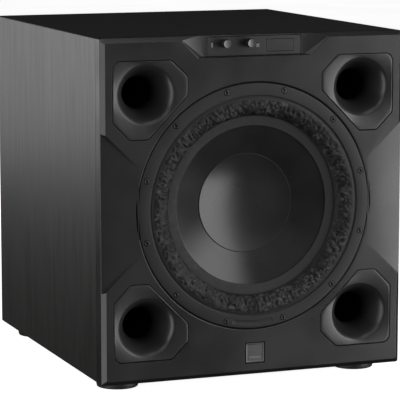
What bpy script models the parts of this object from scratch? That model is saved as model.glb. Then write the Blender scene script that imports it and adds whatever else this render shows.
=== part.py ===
"""Powered subwoofer: a ported cabinet with one large woofer, built as separate solids.

Metres, +Z up. The front faces -Y. X = 0 is the middle of the cabinet, Z = 0 is the level of the
feet's soles, and Y = 0 is midway between the knobs' tips and the heat sink's fins.
Shapes are given in cabinet places (x, depth behind the front face, height above the cabinet's
underside); world() turns them into world places.
"""
import math

import bmesh
import bpy
from mathutils import Vector

# Cabinet
WIDTH = 0.405
HEIGHT = 0.430
DEPTH = 0.444
BAFFLE_T = 0.022
WALL_T = 0.018
FRONT_CHAMFER = 0.0056
CORNER_R = 0.003
GAP = 0.0003

# Feet
FOOT_R = 0.02675
FOOT_H = 0.013
FOOT_X = 0.163
FRONT_FOOT_DEPTH = 0.060
REAR_FOOT_DEPTH = DEPTH - 0.041

# Woofer, all turned about one axis at the middle of the front
WOOFER_H = HEIGHT / 2
RING_R = 0.1555
RING_HOLE_R = 0.1365
SCREW_CIRCLE_R = 0.149
SCREW_COUNT = 12
SCREW_FIRST_DEG = 15.0
SCREW_HEAD_R = 0.0035
SCREW_SHAFT_R = 0.0020
BASKET_R = 0.152
CUTOUT_R = 0.134
LEDGE_DEPTH = 0.0122
ROLL_OUTER_R = 0.136
ROLL_INNER_R = 0.113
CONE_VISIBLE_R = 0.1010
CONE_VISIBLE_DEPTH = 0.0138
CONE_SLOPE = math.tan(math.radians(28.5))
CONE_RIM_SLOPE = 0.158
DUST_CAP_R = 0.0624
FORMER_R = 0.0381
SPIDER_DEPTH = 0.0640
MAGNET_FRONT = 0.0920

# Bass ports, one in each corner
PORT_X = 0.1442
PORT_RISE = 0.145
LIP_R = 0.0375
THROAT_R = 0.020
NECK_R = 0.024
HORN_BACK_R = 0.0335
HORN_BACK_END = 0.0210
TUBE_START = 0.0305
PORT_POCKET = 0.0143
NECK_END = 0.040
TUBE_R = 0.0265
TUBE_END = 0.200

# Controls in the recess at the top of the front
RECESS_FLOOR = FRONT_CHAMFER
PANEL_X = 0.0625
PANEL_LOW = 0.4042
PANEL_HIGH = 0.4278
KNOB_R = 0.0055
KNOB_PROUD = 0.0065
KNOB_HEIGHT = 0.4200
VOLUME_X = -0.0402
MENU_X = -0.0080
DISPLAY_X = 0.0345
DISPLAY_W = 0.0360
DISPLAY_H = 0.0150
STEM_R = 0.003

# Badge
BADGE_SIZE = 0.025
BADGE_HEIGHT = 0.0283

# Amplifier on the rear
PLATE_W = 0.250
PLATE_H = 0.300
PLATE_T = 0.003
PLATE_MID = 0.225
FIN_REACH = 0.020
REAR = DEPTH + GAP
INLET_X = 0.075
SWITCH_X = 0.025
SOCKET_X = -0.070
SOCKET_ROW = 0.115
ROCKER_TILT = math.radians(8.0)

TOTAL_DEPTH = KNOB_PROUD + DEPTH + FIN_REACH
FRONT_Y = KNOB_PROUD - TOTAL_DEPTH / 2


def world(x, depth, height):
    return Vector((x, FRONT_Y + depth, FOOT_H + height))


# ---------------------------------------------------------------- materials

def material(name, colour, roughness, metallic=0.0):
    found = bpy.data.materials.get(name)
    if found:
        return found
    made = bpy.data.materials.new(name)
    made.use_nodes = True
    shader = made.node_tree.nodes["Principled BSDF"]
    shader.inputs["Base Color"].default_value = (*colour, 1.0)
    shader.inputs["Roughness"].default_value = roughness
    shader.inputs["Metallic"].default_value = metallic
    made.diffuse_color = (*colour, 1.0)
    return made


def cabinet_foil():
    return material("cabinet_foil", (0.020, 0.019, 0.018), 0.50)


def satin_black():
    return material("satin_black", (0.016, 0.016, 0.017), 0.38)


def soft_rubber():
    return material("soft_rubber", (0.012, 0.012, 0.012), 0.62)


def cone_pulp():
    return material("cone_pulp", (0.018, 0.018, 0.019), 0.42)


def black_steel():
    return material("black_steel", (0.030, 0.030, 0.032), 0.35, 1.0)


def plain_steel():
    return material("plain_steel", (0.45, 0.45, 0.46), 0.30, 1.0)


def ferrite():
    return material("ferrite", (0.045, 0.043, 0.042), 0.70)


def copper():
    return material("copper", (0.60, 0.28, 0.14), 0.35, 1.0)


def aluminium():
    return material("aluminium", (0.62, 0.62, 0.63), 0.35, 1.0)


def circuit_board():
    return material("circuit_board", (0.015, 0.10, 0.05), 0.50)


def raw_board():
    return material("raw_board", (0.33, 0.24, 0.15), 0.80)


def smoked_window():
    return material("smoked_window", (0.012, 0.012, 0.014), 0.10)


def amber_fabric():
    return material("amber_fabric", (0.36, 0.22, 0.08), 0.85)


# ---------------------------------------------------------------- shape tools

def ring_at(bm, angles, radius, depth, centre):
    """A circle of vertices about a level front-to-back line."""
    ring = []
    for angle in angles:
        x = centre[0] + radius * math.cos(angle)
        height = centre[1] + radius * math.sin(angle)
        ring.append(bm.verts.new((x, depth, height)))
    return ring


def add_turned(bm, profile, segments, x=0.0, height=WOOFER_H):
    """Turn a closed profile of (radius, depth) points about the line along Y at (x, height)."""
    rings = []
    for radius, depth in profile:
        if radius < 1e-7:
            rings.append([bm.verts.new((x, depth, height))] * segments)
            continue
        angles = [math.tau * step / segments for step in range(segments)]
        rings.append(ring_at(bm, angles, radius, depth, (x, height)))
    join_rings(bm, rings, closed=True)


def clear_radius(radius, segments):
    """The corner radius of a many-sided bore whose flats clear a round piece of this radius."""
    return (radius + GAP) / math.cos(math.pi / segments)


def join_rings(bm, rings, closed=False):
    """Skin neighbouring rings of equal length; a ring may be one point repeated."""
    pairs = list(zip(rings, rings[1:]))
    if closed:
        pairs.append((rings[-1], rings[0]))
    for near, far in pairs:
        for step in range(len(near)):
            after = (step + 1) % len(near)
            corners = [near[step], near[after], far[after], far[step]]
            distinct = list(dict.fromkeys(corners))
            if len(distinct) > 2:
                bm.faces.new(distinct)


def add_prism(bm, outline, near, far):
    """Extrude a closed outline of (x, height) points from depth near to depth far."""
    front = [bm.verts.new((x, near, height)) for x, height in outline]
    back = [bm.verts.new((x, far, height)) for x, height in outline]
    bm.faces.new(front)
    bm.faces.new(list(reversed(back)))
    join_rings(bm, [front, back])


def add_box(bm, x_range, depth_range, height_range):
    x0, x1 = x_range
    z0, z1 = height_range
    add_prism(bm, [(x0, z0), (x1, z0), (x1, z1), (x0, z1)], *depth_range)


def add_hull(bm, points):
    """The convex solid round some points."""
    verts = [bm.verts.new(point) for point in points]
    made = bmesh.ops.convex_hull(bm, input=verts)
    unused = [v for v in made["geom_interior"] if isinstance(v, bmesh.types.BMVert)]
    bmesh.ops.delete(bm, geom=unused, context="VERTS")


def rounded_outline(corners, steps=3):
    """An outline through (x, height, corner radius) points, each corner turned as an arc."""
    outline = []
    count = len(corners)
    for index, (x, height, radius) in enumerate(corners):
        here = Vector((x, height))
        if radius <= 0.0:
            outline.append((x, height))
            continue
        before = (Vector(corners[index - 1][:2]) - here).normalized()
        after = (Vector(corners[(index + 1) % count][:2]) - here).normalized()
        half = before.angle(after) / 2
        reach = radius / math.tan(half)
        middle = here + (before + after).normalized() * (radius / math.sin(half))
        start = (here + before * reach - middle).normalized()
        end = (here + after * reach - middle).normalized()
        for step in range(steps + 1):
            place = middle + start.slerp(end, step / steps) * radius
            outline.append((place.x, place.y))
    return outline


def make(name, bm, paint, origin=(0.0, 0.0, 0.0), smooth_deg=None):
    """Turn cabinet places into one named object whose origin is at a cabinet place."""
    bmesh.ops.recalc_face_normals(bm, faces=bm.faces)
    place = world(*origin)
    for vert in bm.verts:
        vert.co = world(*vert.co) - place
    mesh = bpy.data.meshes.new(name)
    bm.to_mesh(mesh)
    bm.free()
    mesh.materials.append(paint)
    if smooth_deg:
        mesh.shade_smooth()
        mesh.set_sharp_from_angle(angle=math.radians(smooth_deg))
    made = bpy.data.objects.new(name, mesh)
    made.location = place
    bpy.context.scene.collection.objects.link(made)
    return made


def turned(name, profile, segments, paint, x=0.0, height=WOOFER_H, smooth_deg=35):
    bm = bmesh.new()
    add_turned(bm, profile, segments, x, height)
    return make(name, bm, paint, (x, 0.0, height), smooth_deg)


def box(name, x_range, depth_range, height_range, paint):
    bm = bmesh.new()
    add_box(bm, x_range, depth_range, height_range)
    centre = [sum(span) / 2 for span in (x_range, depth_range, height_range)]
    return make(name, bm, paint, centre)


def cutter(name, bm):
    made = make(name, bm, raw_board())
    made.hide_render = True
    made.display_type = "WIRE"
    return made


def combine(target, tool, operation="DIFFERENCE"):
    step = target.modifiers.new(tool.name, "BOOLEAN")
    step.object = tool
    step.operation = operation


# ---------------------------------------------------------------- cabinet

def corner_arc(start_deg, end_deg, steps=3):
    """Part of the rounding of the cabinet's top right edge, as (x, height) places."""
    middle_x, middle_z = WIDTH / 2 - CORNER_R, HEIGHT - CORNER_R
    places = []
    for step in range(steps + 1):
        angle = math.radians(start_deg + (end_deg - start_deg) * step / steps)
        places.append((middle_x + CORNER_R * math.cos(angle), middle_z + CORNER_R * math.sin(angle)))
    return places


def cabinet_panels():
    """Four mitred panels with rounded outer edges; the mitres keep a hair's gap."""
    half = WIDTH / 2
    near, far = BAFFLE_T + GAP, DEPTH
    inner = half - WALL_T
    ease = GAP / 2
    upper = [(x, height - ease) for x, height in corner_arc(0.0, 45.0)]
    side = upper + [(inner, HEIGHT - WALL_T - ease), (inner, WALL_T + ease)]
    side += [(x, HEIGHT - height) for x, height in reversed(upper)]
    for name, sign in (("left_panel", -1), ("right_panel", 1)):
        bm = bmesh.new()
        add_prism(bm, [(sign * x, height) for x, height in side], near, far)
        make(name, bm, cabinet_foil(), (sign * half, near, 0.0), smooth_deg=30)
    right = [(x - ease, height) for x, height in corner_arc(45.0, 90.0)]
    level = right + [(-x, height) for x, height in reversed(right)]
    level += [(ease - inner, HEIGHT - WALL_T), (inner - ease, HEIGHT - WALL_T)]
    for name, flip in (("bottom_panel", True), ("top_panel", False)):
        bm = bmesh.new()
        add_prism(bm, [(x, HEIGHT - height if flip else height) for x, height in level], near, far)
        make(name, bm, cabinet_foil(), (0.0, near, 0.0 if flip else HEIGHT), smooth_deg=30)


def rear_panel():
    inner_x = WIDTH / 2 - WALL_T - GAP
    panel = box("rear_panel", (-inner_x, inner_x), (DEPTH - WALL_T, DEPTH),
                (WALL_T + GAP, HEIGHT - WALL_T - GAP), cabinet_foil())
    opening = bmesh.new()
    margin = 0.014
    add_box(opening, (margin - PLATE_W / 2, PLATE_W / 2 - margin), (DEPTH - 2 * WALL_T, DEPTH + WALL_T),
            (PLATE_MID - PLATE_H / 2 + margin, PLATE_MID + PLATE_H / 2 - margin))
    combine(panel, cutter("cut_amplifier_opening", opening))


def cross_brace():
    inner_x = WIDTH / 2 - WALL_T - GAP
    box("cross_brace", (-inner_x, inner_x), (0.235, 0.253), (0.190, 0.240), raw_board())


def feet():
    rim = 0.0022
    profile = [
        (0.0, 0.0), (FOOT_R - rim, 0.0), (FOOT_R - rim * 0.3, rim * 0.3), (FOOT_R, rim),
        (FOOT_R, FOOT_H - GAP), (0.0, FOOT_H - GAP),
    ]
    places = {
        "foot_front_left": (-FOOT_X, FRONT_FOOT_DEPTH), "foot_front_right": (FOOT_X, FRONT_FOOT_DEPTH),
        "foot_rear_left": (-FOOT_X, REAR_FOOT_DEPTH), "foot_rear_right": (FOOT_X, REAR_FOOT_DEPTH),
    }
    segments = 24
    for name, (x, depth) in places.items():
        bm = bmesh.new()
        rings = []
        for radius, rise in profile:
            if radius == 0.0:
                rings.append([bm.verts.new((x, depth, rise - FOOT_H))] * segments)
                continue
            ring = []
            for step in range(segments):
                angle = math.tau * step / segments
                across, along = radius * math.cos(angle), radius * math.sin(angle)
                ring.append(bm.verts.new((x + across, depth + along, rise - FOOT_H)))
            rings.append(ring)
        join_rings(bm, rings)
        make(name, bm, soft_rubber(), (x, depth, -FOOT_H), smooth_deg=50)


# ---------------------------------------------------------------- front baffle

def baffle_body():
    """A board whose front edges are chamfered all round."""
    half = WIDTH / 2
    outer = rounded_outline([
        (-half, 0.0, CORNER_R), (half, 0.0, CORNER_R), (half, HEIGHT, CORNER_R), (-half, HEIGHT, CORNER_R),
    ])
    inset = FRONT_CHAMFER
    inner = rounded_outline([
        (inset - half, inset, CORNER_R), (half - inset, inset, CORNER_R),
        (half - inset, HEIGHT - inset, CORNER_R), (inset - half, HEIGHT - inset, CORNER_R),
    ])
    bm = bmesh.new()
    front = [bm.verts.new((x, 0.0, z)) for x, z in inner]
    edge = [bm.verts.new((x, FRONT_CHAMFER, z)) for x, z in outer]
    back = [bm.verts.new((x, BAFFLE_T, z)) for x, z in outer]
    bm.faces.new(front)
    bm.faces.new(list(reversed(back)))
    join_rings(bm, [front, edge, back])
    return make("front_baffle", bm, satin_black(), (0.0, 0.0, WOOFER_H))


def side_facet_cutter():
    """Two shallow facets that slope back to the cabinet's edges between the ports."""
    half = WIDTH / 2
    start_x = 0.1575
    low, high = 0.1565, 0.2735
    reach = 0.060
    edge_depth = 0.0050
    slope = edge_depth / (half - start_x)
    flank = 0.8
    clear = -0.002
    bm = bmesh.new()
    for sign in (-1, 1):
        end_x = start_x + reach
        deep = reach * slope
        points = [(sign * (start_x + 0.0001), 0.0, low), (sign * (start_x + 0.0001), 0.0, high)]
        points += [(sign * end_x, deep, low - reach + deep * flank)]
        points += [(sign * end_x, deep, high + reach - deep * flank)]
        points += [(sign * end_x, clear, low - reach), (sign * end_x, clear, high + reach)]
        points += [(sign * start_x, clear, low), (sign * start_x, clear, high)]
        add_hull(bm, points)
    return cutter("cut_side_facets", bm)


def control_recess_cutter():
    """A shallow tray with ramped ends, open at the top edge."""
    lip_x, lip_top_x = 0.0775, 0.1095
    floor_x, floor_top_x = 0.0680, 0.0745
    lip_z, floor_z = 0.4023, 0.4043
    top = HEIGHT + 0.004
    clear = -0.001
    bm = bmesh.new()
    points = []
    for sign in (-1, 1):
        points += [(sign * lip_x, clear, lip_z), (sign * lip_top_x, clear, top)]
        points += [(sign * floor_x, RECESS_FLOOR, floor_z), (sign * floor_top_x, RECESS_FLOOR, top)]
    add_hull(bm, points)
    return cutter("cut_control_recess", bm)


def control_bay_cutters():
    """The panel's rebate in the recess floor, and the bay behind it for the control board."""
    rebate_back = 0.0082
    bay_left, bay_right = -0.0612, 0.0582
    bay_low, bay_high = 0.4065, 0.4257
    rebate = bmesh.new()
    add_box(rebate, (-PANEL_X - GAP, PANEL_X + GAP), (0.0, rebate_back), (PANEL_LOW - GAP, PANEL_HIGH + GAP))
    bay = bmesh.new()
    add_box(bay, (bay_left, bay_right), (rebate_back - 0.001, BAFFLE_T + 0.001), (bay_low, bay_high))
    return cutter("cut_panel_rebate", rebate), cutter("cut_control_bay", bay)


def woofer_opening_cutter():
    """The rebate that holds the trim ring and basket flange, its eased mouth, and the cut-out."""
    ease = 0.0012
    wall = RING_R + 0.0007
    profile = [
        (0.0, -0.002), (wall + ease + 0.002, -0.002), (wall, ease), (wall, LEDGE_DEPTH),
        (CUTOUT_R, LEDGE_DEPTH), (CUTOUT_R, BAFFLE_T + 0.002), (0.0, BAFFLE_T + 0.002),
    ]
    bm = bmesh.new()
    add_turned(bm, profile, 60)
    return cutter("cut_woofer_opening", bm)


def screw_places():
    for index in range(SCREW_COUNT):
        angle = math.radians(SCREW_FIRST_DEG + index * 360.0 / SCREW_COUNT)
        yield index, SCREW_CIRCLE_R * math.cos(angle), WOOFER_H + SCREW_CIRCLE_R * math.sin(angle)


def screw_hole_cutter():
    """Counterbored holes on one circle, through the ring and flange and into the baffle."""
    bore, sink = SCREW_SHAFT_R + GAP, SCREW_HEAD_R + GAP
    profile = [(0.0, -0.001), (sink, -0.001), (sink, 0.0036), (bore, 0.0036), (bore, 0.0205), (0.0, 0.0205)]
    bm = bmesh.new()
    for _, x, height in screw_places():
        add_turned(bm, profile, 8, x, height)
    return cutter("cut_screw_holes", bm)


def port_centres():
    for name, sign_x, sign_z in (("top_left", -1, 1), ("top_right", 1, 1),
                                 ("bottom_left", -1, -1), ("bottom_right", 1, -1)):
        yield name, sign_x, sign_z


def port_outline(grow=0.0):
    """The flared mouth's outline about the port's own centre, for the top right corner."""
    side, top, low = 0.0440, 0.0423, -0.0557
    inner = -0.0549
    ease, outer_ease = 0.006, 0.011
    corners = [
        (side, -0.0333, ease), (side, top, outer_ease), (-0.0327, top, ease), (inner, 0.0210, ease),
        (inner, -0.0023, ease), (-0.0025, low, ease), (0.0218, low, ease),
    ]
    outline = rounded_outline(corners, steps=2)
    filled = []
    for index, (x, z) in enumerate(outline):
        after = outline[(index + 1) % len(outline)]
        span = math.dist((x, z), after)
        parts = max(1, round(span / 0.020))
        for part in range(parts):
            share = part / parts
            filled.append((x + (after[0] - x) * share, z + (after[1] - z) * share))
    if grow == 0.0:
        return filled
    wide = []
    for x, z in filled:
        length = math.hypot(x, z)
        wide.append((x * (1 + grow / length), z * (1 + grow / length)))
    return wide


def mirrored(outline, sign_x, sign_z):
    placed = []
    for x, z in outline:
        placed.append((sign_x * (PORT_X + x), WOOFER_H + sign_z * (PORT_RISE + z)))
    return placed


def port_pocket_cutters():
    pockets = bmesh.new()
    necks = bmesh.new()
    wide = port_outline(1.3 * GAP)
    segments = 20
    bore_r = clear_radius(HORN_BACK_R, segments)
    bore = [(0.0, 0.005), (bore_r, 0.005), (bore_r, BAFFLE_T + 0.002), (0.0, BAFFLE_T + 0.002)]
    for _, sign_x, sign_z in port_centres():
        add_prism(pockets, mirrored(wide, sign_x, sign_z), -0.002, PORT_POCKET)
        add_turned(necks, bore, segments, sign_x * PORT_X, WOOFER_H + sign_z * PORT_RISE)
    return cutter("cut_port_pockets", pockets), cutter("cut_port_necks", necks)


def badge_cutter():
    side = BADGE_SIZE / 2 + 0.0006
    bm = bmesh.new()
    add_box(bm, (-side, side), (-0.001, 0.0026), (BADGE_HEIGHT - side, BADGE_HEIGHT + side))
    return cutter("cut_badge_pocket", bm)


def front_baffle(screw_holes):
    baffle = baffle_body()
    combine(baffle, side_facet_cutter())
    combine(baffle, control_recess_cutter())
    for tool in control_bay_cutters():
        combine(baffle, tool)
    combine(baffle, woofer_opening_cutter())
    for tool in port_pocket_cutters():
        combine(baffle, tool)
    combine(baffle, badge_cutter())
    combine(baffle, screw_holes)


def badge():
    side = BADGE_SIZE / 2
    box("badge", (-side, side), (0.0003, 0.0023), (BADGE_HEIGHT - side, BADGE_HEIGHT + side), aluminium())


# ---------------------------------------------------------------- bass ports

def port_flare(name, sign_x, sign_z):
    """A polygonal mouth that blends into a round horn and a neck."""
    centre = (sign_x * PORT_X, WOOFER_H + sign_z * PORT_RISE)
    outline = mirrored(port_outline(), sign_x, sign_z)
    angles = [math.atan2(z - centre[1], x - centre[0]) for x, z in outline]
    bm = bmesh.new()

    def outline_ring(share, depth):
        """A ring part of the way from the outline (0) to the lip (1)."""
        ring = []
        for (x, z), angle in zip(outline, angles):
            lip_x = centre[0] + LIP_R * math.cos(angle)
            lip_z = centre[1] + LIP_R * math.sin(angle)
            ring.append(bm.verts.new((x + (lip_x - x) * share, depth, z + (lip_z - z) * share)))
        return ring

    rings = [outline_ring(0.0, 0.0004), outline_ring(0.5, 0.0009), outline_ring(1.0, 0.0019)]
    for radius, depth in ((0.0350, 0.0036), (0.0290, 0.0094), (0.0240, 0.0172), (THROAT_R, 0.0330),
                          (THROAT_R, NECK_END), (NECK_R, NECK_END), (NECK_R, TUBE_START - GAP),
                          (HORN_BACK_R, HORN_BACK_END), (HORN_BACK_R, PORT_POCKET - GAP)):
        rings.append(ring_at(bm, angles, radius, depth, centre))
    rings.append([bm.verts.new((x, PORT_POCKET - GAP, z)) for x, z in outline])
    join_rings(bm, rings, closed=True)
    make(name, bm, satin_black(), (centre[0], 0.0, centre[1]), smooth_deg=40)


def port_tube(name, sign_x, sign_z):
    segments = 16
    inner = clear_radius(NECK_R, segments)
    profile = [(inner, TUBE_START), (TUBE_R, TUBE_START), (TUBE_R, TUBE_END), (inner, TUBE_END)]
    turned(name, profile, segments, satin_black(), sign_x * PORT_X, WOOFER_H + sign_z * PORT_RISE)


def ports():
    for corner, sign_x, sign_z in port_centres():
        port_flare("port_flare_" + corner, sign_x, sign_z)
        port_tube("port_tube_" + corner, sign_x, sign_z)


# ---------------------------------------------------------------- woofer, fixed pieces

def trim_ring(screw_holes):
    front, back = 0.0003, 0.0069
    profile = [
        (RING_R, front + 0.0006), (RING_R - 0.0006, front), (0.1412, front), (RING_HOLE_R, 0.0052),
        (0.1406, 0.0054), (0.1406, back), (RING_R, back),
    ]
    ring = turned("trim_ring", profile, 60, soft_rubber())
    combine(ring, screw_holes)


def basket(screw_holes):
    """A cast frame: flange, sloping wall with vents, spider ledge and a cup on the magnet."""
    wall = 0.0030
    profile = [
        (0.127, 0.0072), (BASKET_R, 0.0072), (BASKET_R, 0.0100), (0.1332, 0.0100), (0.1332, 0.0140),
        (0.0900, 0.0680), (0.0780, 0.0680), (0.0780, 0.0917), (0.0450, 0.0917), (0.0450, 0.0887),
        (0.0780 - wall, 0.0887), (0.0780 - wall, 0.0650), (0.0875, 0.0650), (0.1296, 0.0125),
    ]
    frame = turned("basket", profile, 32, black_steel())
    vents = bmesh.new()
    count = 8
    for index in range(count):
        turn = math.tau * (index + 0.5) / count
        along = Vector((math.cos(turn), 0.0, math.sin(turn)))
        across = Vector((-math.sin(turn), 0.0, math.cos(turn)))
        middle = Vector((0.0, 0.0, WOOFER_H))
        points = []
        for reach, near, far, half in ((0.080, 0.056, 0.060, 0.0120), (0.135, 0.020, 0.056, 0.0200)):
            for side in (-half, half):
                for depth in (near, far):
                    points.append(middle + along * reach + across * side + Vector((0.0, depth, 0.0)))
        add_hull(vents, points)
    combine(frame, cutter("cut_basket_vents", vents))
    combine(frame, screw_holes)


def gasket():
    inner, outer = 0.1358, 0.1455
    front, back = 0.0103, 0.0119
    turned("gasket", [(inner, front), (outer, front), (outer, back), (inner, back)], 32, soft_rubber())


def motor():
    """Top plate, ring magnet, and back plate with the pole inside the coil."""
    front = MAGNET_FRONT
    plate_end = front + 0.008
    magnet_end = plate_end + 0.030
    bore, rim = 0.0418, 0.0760
    turned("top_plate", [(bore, front), (rim, front), (rim, plate_end), (bore, plate_end)], 24, black_steel())
    bore, rim, face = 0.0500, 0.0880, plate_end + GAP
    turned("magnet", [(bore, face), (rim, face), (rim, magnet_end), (bore, magnet_end)], 24, ferrite())
    pole_r, vent_r, back = 0.0366, 0.0120, magnet_end + 0.010
    turned("back_plate_and_pole", [
        (vent_r, front), (pole_r, front), (pole_r, magnet_end + GAP), (0.0790, magnet_end + GAP),
        (0.0790, back), (vent_r, back),
    ], 24, black_steel())


def woofer_screws():
    """Socket-head screws that hold the ring and flange to the baffle."""
    top, under, tip = 0.0006, 0.0033, 0.0200
    socket_r, socket_depth = 0.0017, 0.0024
    profile = [
        (0.0, socket_depth), (socket_r, top), (SCREW_HEAD_R, top),
        (SCREW_HEAD_R, under), (SCREW_SHAFT_R, under), (SCREW_SHAFT_R, tip - 0.001), (0.0, tip),
    ]
    for index, x, height in screw_places():
        turned(f"woofer_screw_{index + 1:02d}", profile, 8, black_steel(), x, height)


# ---------------------------------------------------------------- woofer, moving pieces

def cone_front(radius):
    """Depth of the cone's front surface at a radius."""
    if radius > CONE_VISIBLE_R:
        return CONE_VISIBLE_DEPTH - (radius - CONE_VISIBLE_R) * CONE_RIM_SLOPE
    return CONE_VISIBLE_DEPTH + (CONE_VISIBLE_R - radius) * CONE_SLOPE


def cone():
    thick = 0.0013
    inner_r = FORMER_R + GAP
    radii = [0.1115, CONE_VISIBLE_R, inner_r]
    profile = [(r, cone_front(r)) for r in radii]
    profile += [(r, cone_front(r) + thick) for r in reversed(radii)]
    turned("cone", profile, 40, cone_pulp())


def dust_cap():
    """A dished cap, part of a sphere; its rim stands on the cone."""
    thick = 0.0010
    sag = 0.0115
    steps = 6
    rim = cone_front(DUST_CAP_R) - GAP - thick
    ball_r = (DUST_CAP_R ** 2 + sag ** 2) / (2 * sag)
    rim_to_centre = math.sqrt(ball_r ** 2 - DUST_CAP_R ** 2)
    front = []
    for step in range(steps + 1):
        radius = DUST_CAP_R * (1 - step / steps)
        front.append((radius, rim + math.sqrt(ball_r ** 2 - radius ** 2) - rim_to_centre))
    back = [(radius, depth + thick) for radius, depth in reversed(front)]
    turned("dust_cap", front + back, 32, cone_pulp())


def surround():
    """A half roll between the basket flange and the cone's rim."""
    thick = 0.0011
    middle = (ROLL_OUTER_R + ROLL_INNER_R) / 2
    half = (ROLL_OUTER_R - ROLL_INNER_R) / 2
    outer_root, inner_root, height = 0.0057, 0.0105, 0.0062
    steps = 6
    front = [(0.1400, outer_root)]
    back = [(0.1400, outer_root + thick)]
    for step in range(steps + 1):
        turn = math.pi * step / steps
        root = outer_root + (inner_root - outer_root) * step / steps
        front.append((middle + half * math.cos(turn), root - height * math.sin(turn)))
        back.append((middle + (half - thick) * math.cos(turn), root + thick - height * math.sin(turn)))
    front.append((CONE_VISIBLE_R, CONE_VISIBLE_DEPTH - GAP - thick))
    back.append((CONE_VISIBLE_R, CONE_VISIBLE_DEPTH - GAP))
    turned("surround", front + list(reversed(back)), 40, soft_rubber())


def coil():
    turned("coil_former", [
        (FORMER_R - 0.0007, 0.0455), (FORMER_R, 0.0455), (FORMER_R, 0.1130), (FORMER_R - 0.0007, 0.1130),
    ], 24, amber_fabric())
    inner = FORMER_R + GAP
    outer = inner + 0.0018
    front, back = 0.0850, 0.1120
    turned("voice_coil", [(inner, front), (outer, front), (outer, back), (inner, back)], 24, copper())


def spider():
    """A corrugated centring disc between the coil former and the basket's ledge."""
    thick = 0.0007
    inner_r, wave_start, wave_end, outer_r = FORMER_R + GAP, 0.0420, 0.0740, 0.0862
    waves, per_wave = 2, 4
    steps = waves * per_wave
    middle_line = [(inner_r, 0.0)]
    for step in range(steps + 1):
        radius = wave_start + (wave_end - wave_start) * step / steps
        middle_line.append((radius, 0.0016 * math.sin(math.tau * step / per_wave)))
    middle_line.append((outer_r, 0.0))
    front = [(radius, SPIDER_DEPTH + wave) for radius, wave in middle_line]
    back = [(radius, SPIDER_DEPTH + thick + wave) for radius, wave in middle_line]
    turned("spider", front + list(reversed(back)), 24, amber_fabric())


# ---------------------------------------------------------------- controls

def control_panel():
    face, back = 0.0058, 0.0078
    panel = box("control_panel", (-PANEL_X, PANEL_X), (face, back), (PANEL_LOW, PANEL_HIGH), satin_black())
    middle = (PANEL_LOW + PANEL_HIGH) / 2
    window = bmesh.new()
    half_w, half_h = DISPLAY_W / 2 + GAP, DISPLAY_H / 2 + GAP
    through = (face - 0.002, back + 0.002)
    add_box(window, (DISPLAY_X - half_w, DISPLAY_X + half_w), through, (middle - half_h, middle + half_h))
    combine(panel, cutter("cut_display", window))
    holes = bmesh.new()
    for x in (VOLUME_X, MENU_X):
        hole_r = STEM_R + 2 * GAP
        hole = [(0.0, through[0]), (hole_r, through[0]), (hole_r, through[1]), (0.0, through[1])]
        add_turned(holes, hole, 16, x, KNOB_HEIGHT)
    combine(panel, cutter("cut_stem_holes", holes))
    box("display_window", (DISPLAY_X - DISPLAY_W / 2, DISPLAY_X + DISPLAY_W / 2), (face + 0.0001, back),
        (middle - DISPLAY_H / 2, middle + DISPLAY_H / 2), smoked_window())


def control_board():
    """A circuit board with the two encoder housings on its front."""
    board = box("control_board", (-0.058, 0.055), (0.0160, 0.0176), (0.4072, 0.4250), circuit_board())
    housings = bmesh.new()
    bores = bmesh.new()
    for x in (VOLUME_X, MENU_X):
        add_box(housings, (x - 0.0055, x + 0.0055), (0.0090, 0.0165), (0.4135, 0.4248))
        bore = [(0.0, 0.008), (STEM_R + GAP, 0.008), (STEM_R + GAP, 0.0140), (0.0, 0.0140)]
        add_turned(bores, bore, 16, x, KNOB_HEIGHT)
    combine(board, cutter("add_encoder_housings", housings), "UNION")
    combine(board, cutter("cut_encoder_bores", bores))


def knob(name, x):
    """A round push-and-turn knob on its stem."""
    tip, back = -KNOB_PROUD, 0.0042
    ease = 0.0006
    bore_r, bore_end = STEM_R + GAP, -0.0040
    profile = [
        (0.0, tip), (KNOB_R - ease, tip), (KNOB_R, tip + ease), (KNOB_R, back), (bore_r, back),
        (bore_r, bore_end), (0.0, bore_end),
    ]
    turned(name + "_knob", profile, 24, satin_black(), x, KNOB_HEIGHT)
    stem = [(0.0, bore_end + GAP), (STEM_R, bore_end + GAP), (STEM_R, 0.0125), (0.0, 0.0125)]
    turned(name + "_stem", stem, 16, plain_steel(), x, KNOB_HEIGHT)


def controls():
    control_panel()
    control_board()
    knob("volume", VOLUME_X)
    knob("menu", MENU_X)


# ---------------------------------------------------------------- amplifier

def amplifier_plate():
    low = PLATE_MID - PLATE_H / 2
    across = (-PLATE_W / 2, PLATE_W / 2)
    plate = box("amplifier_plate", across, (REAR, REAR + PLATE_T), (low, low + PLATE_H), satin_black())
    through = (DEPTH - 0.001, REAR + PLATE_T + 0.001)
    holes = bmesh.new()
    cut_outs = [(INLET_X, 0.0145, 0.0105), (SWITCH_X, 0.0068, 0.0098), (SOCKET_X, 0.0225, 0.0105)]
    for x, half_w, half_h in cut_outs:
        add_box(holes, (x - half_w, x + half_w), through, (SOCKET_ROW - half_h, SOCKET_ROW + half_h))
    combine(plate, cutter("cut_amplifier_sockets", holes))


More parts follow.
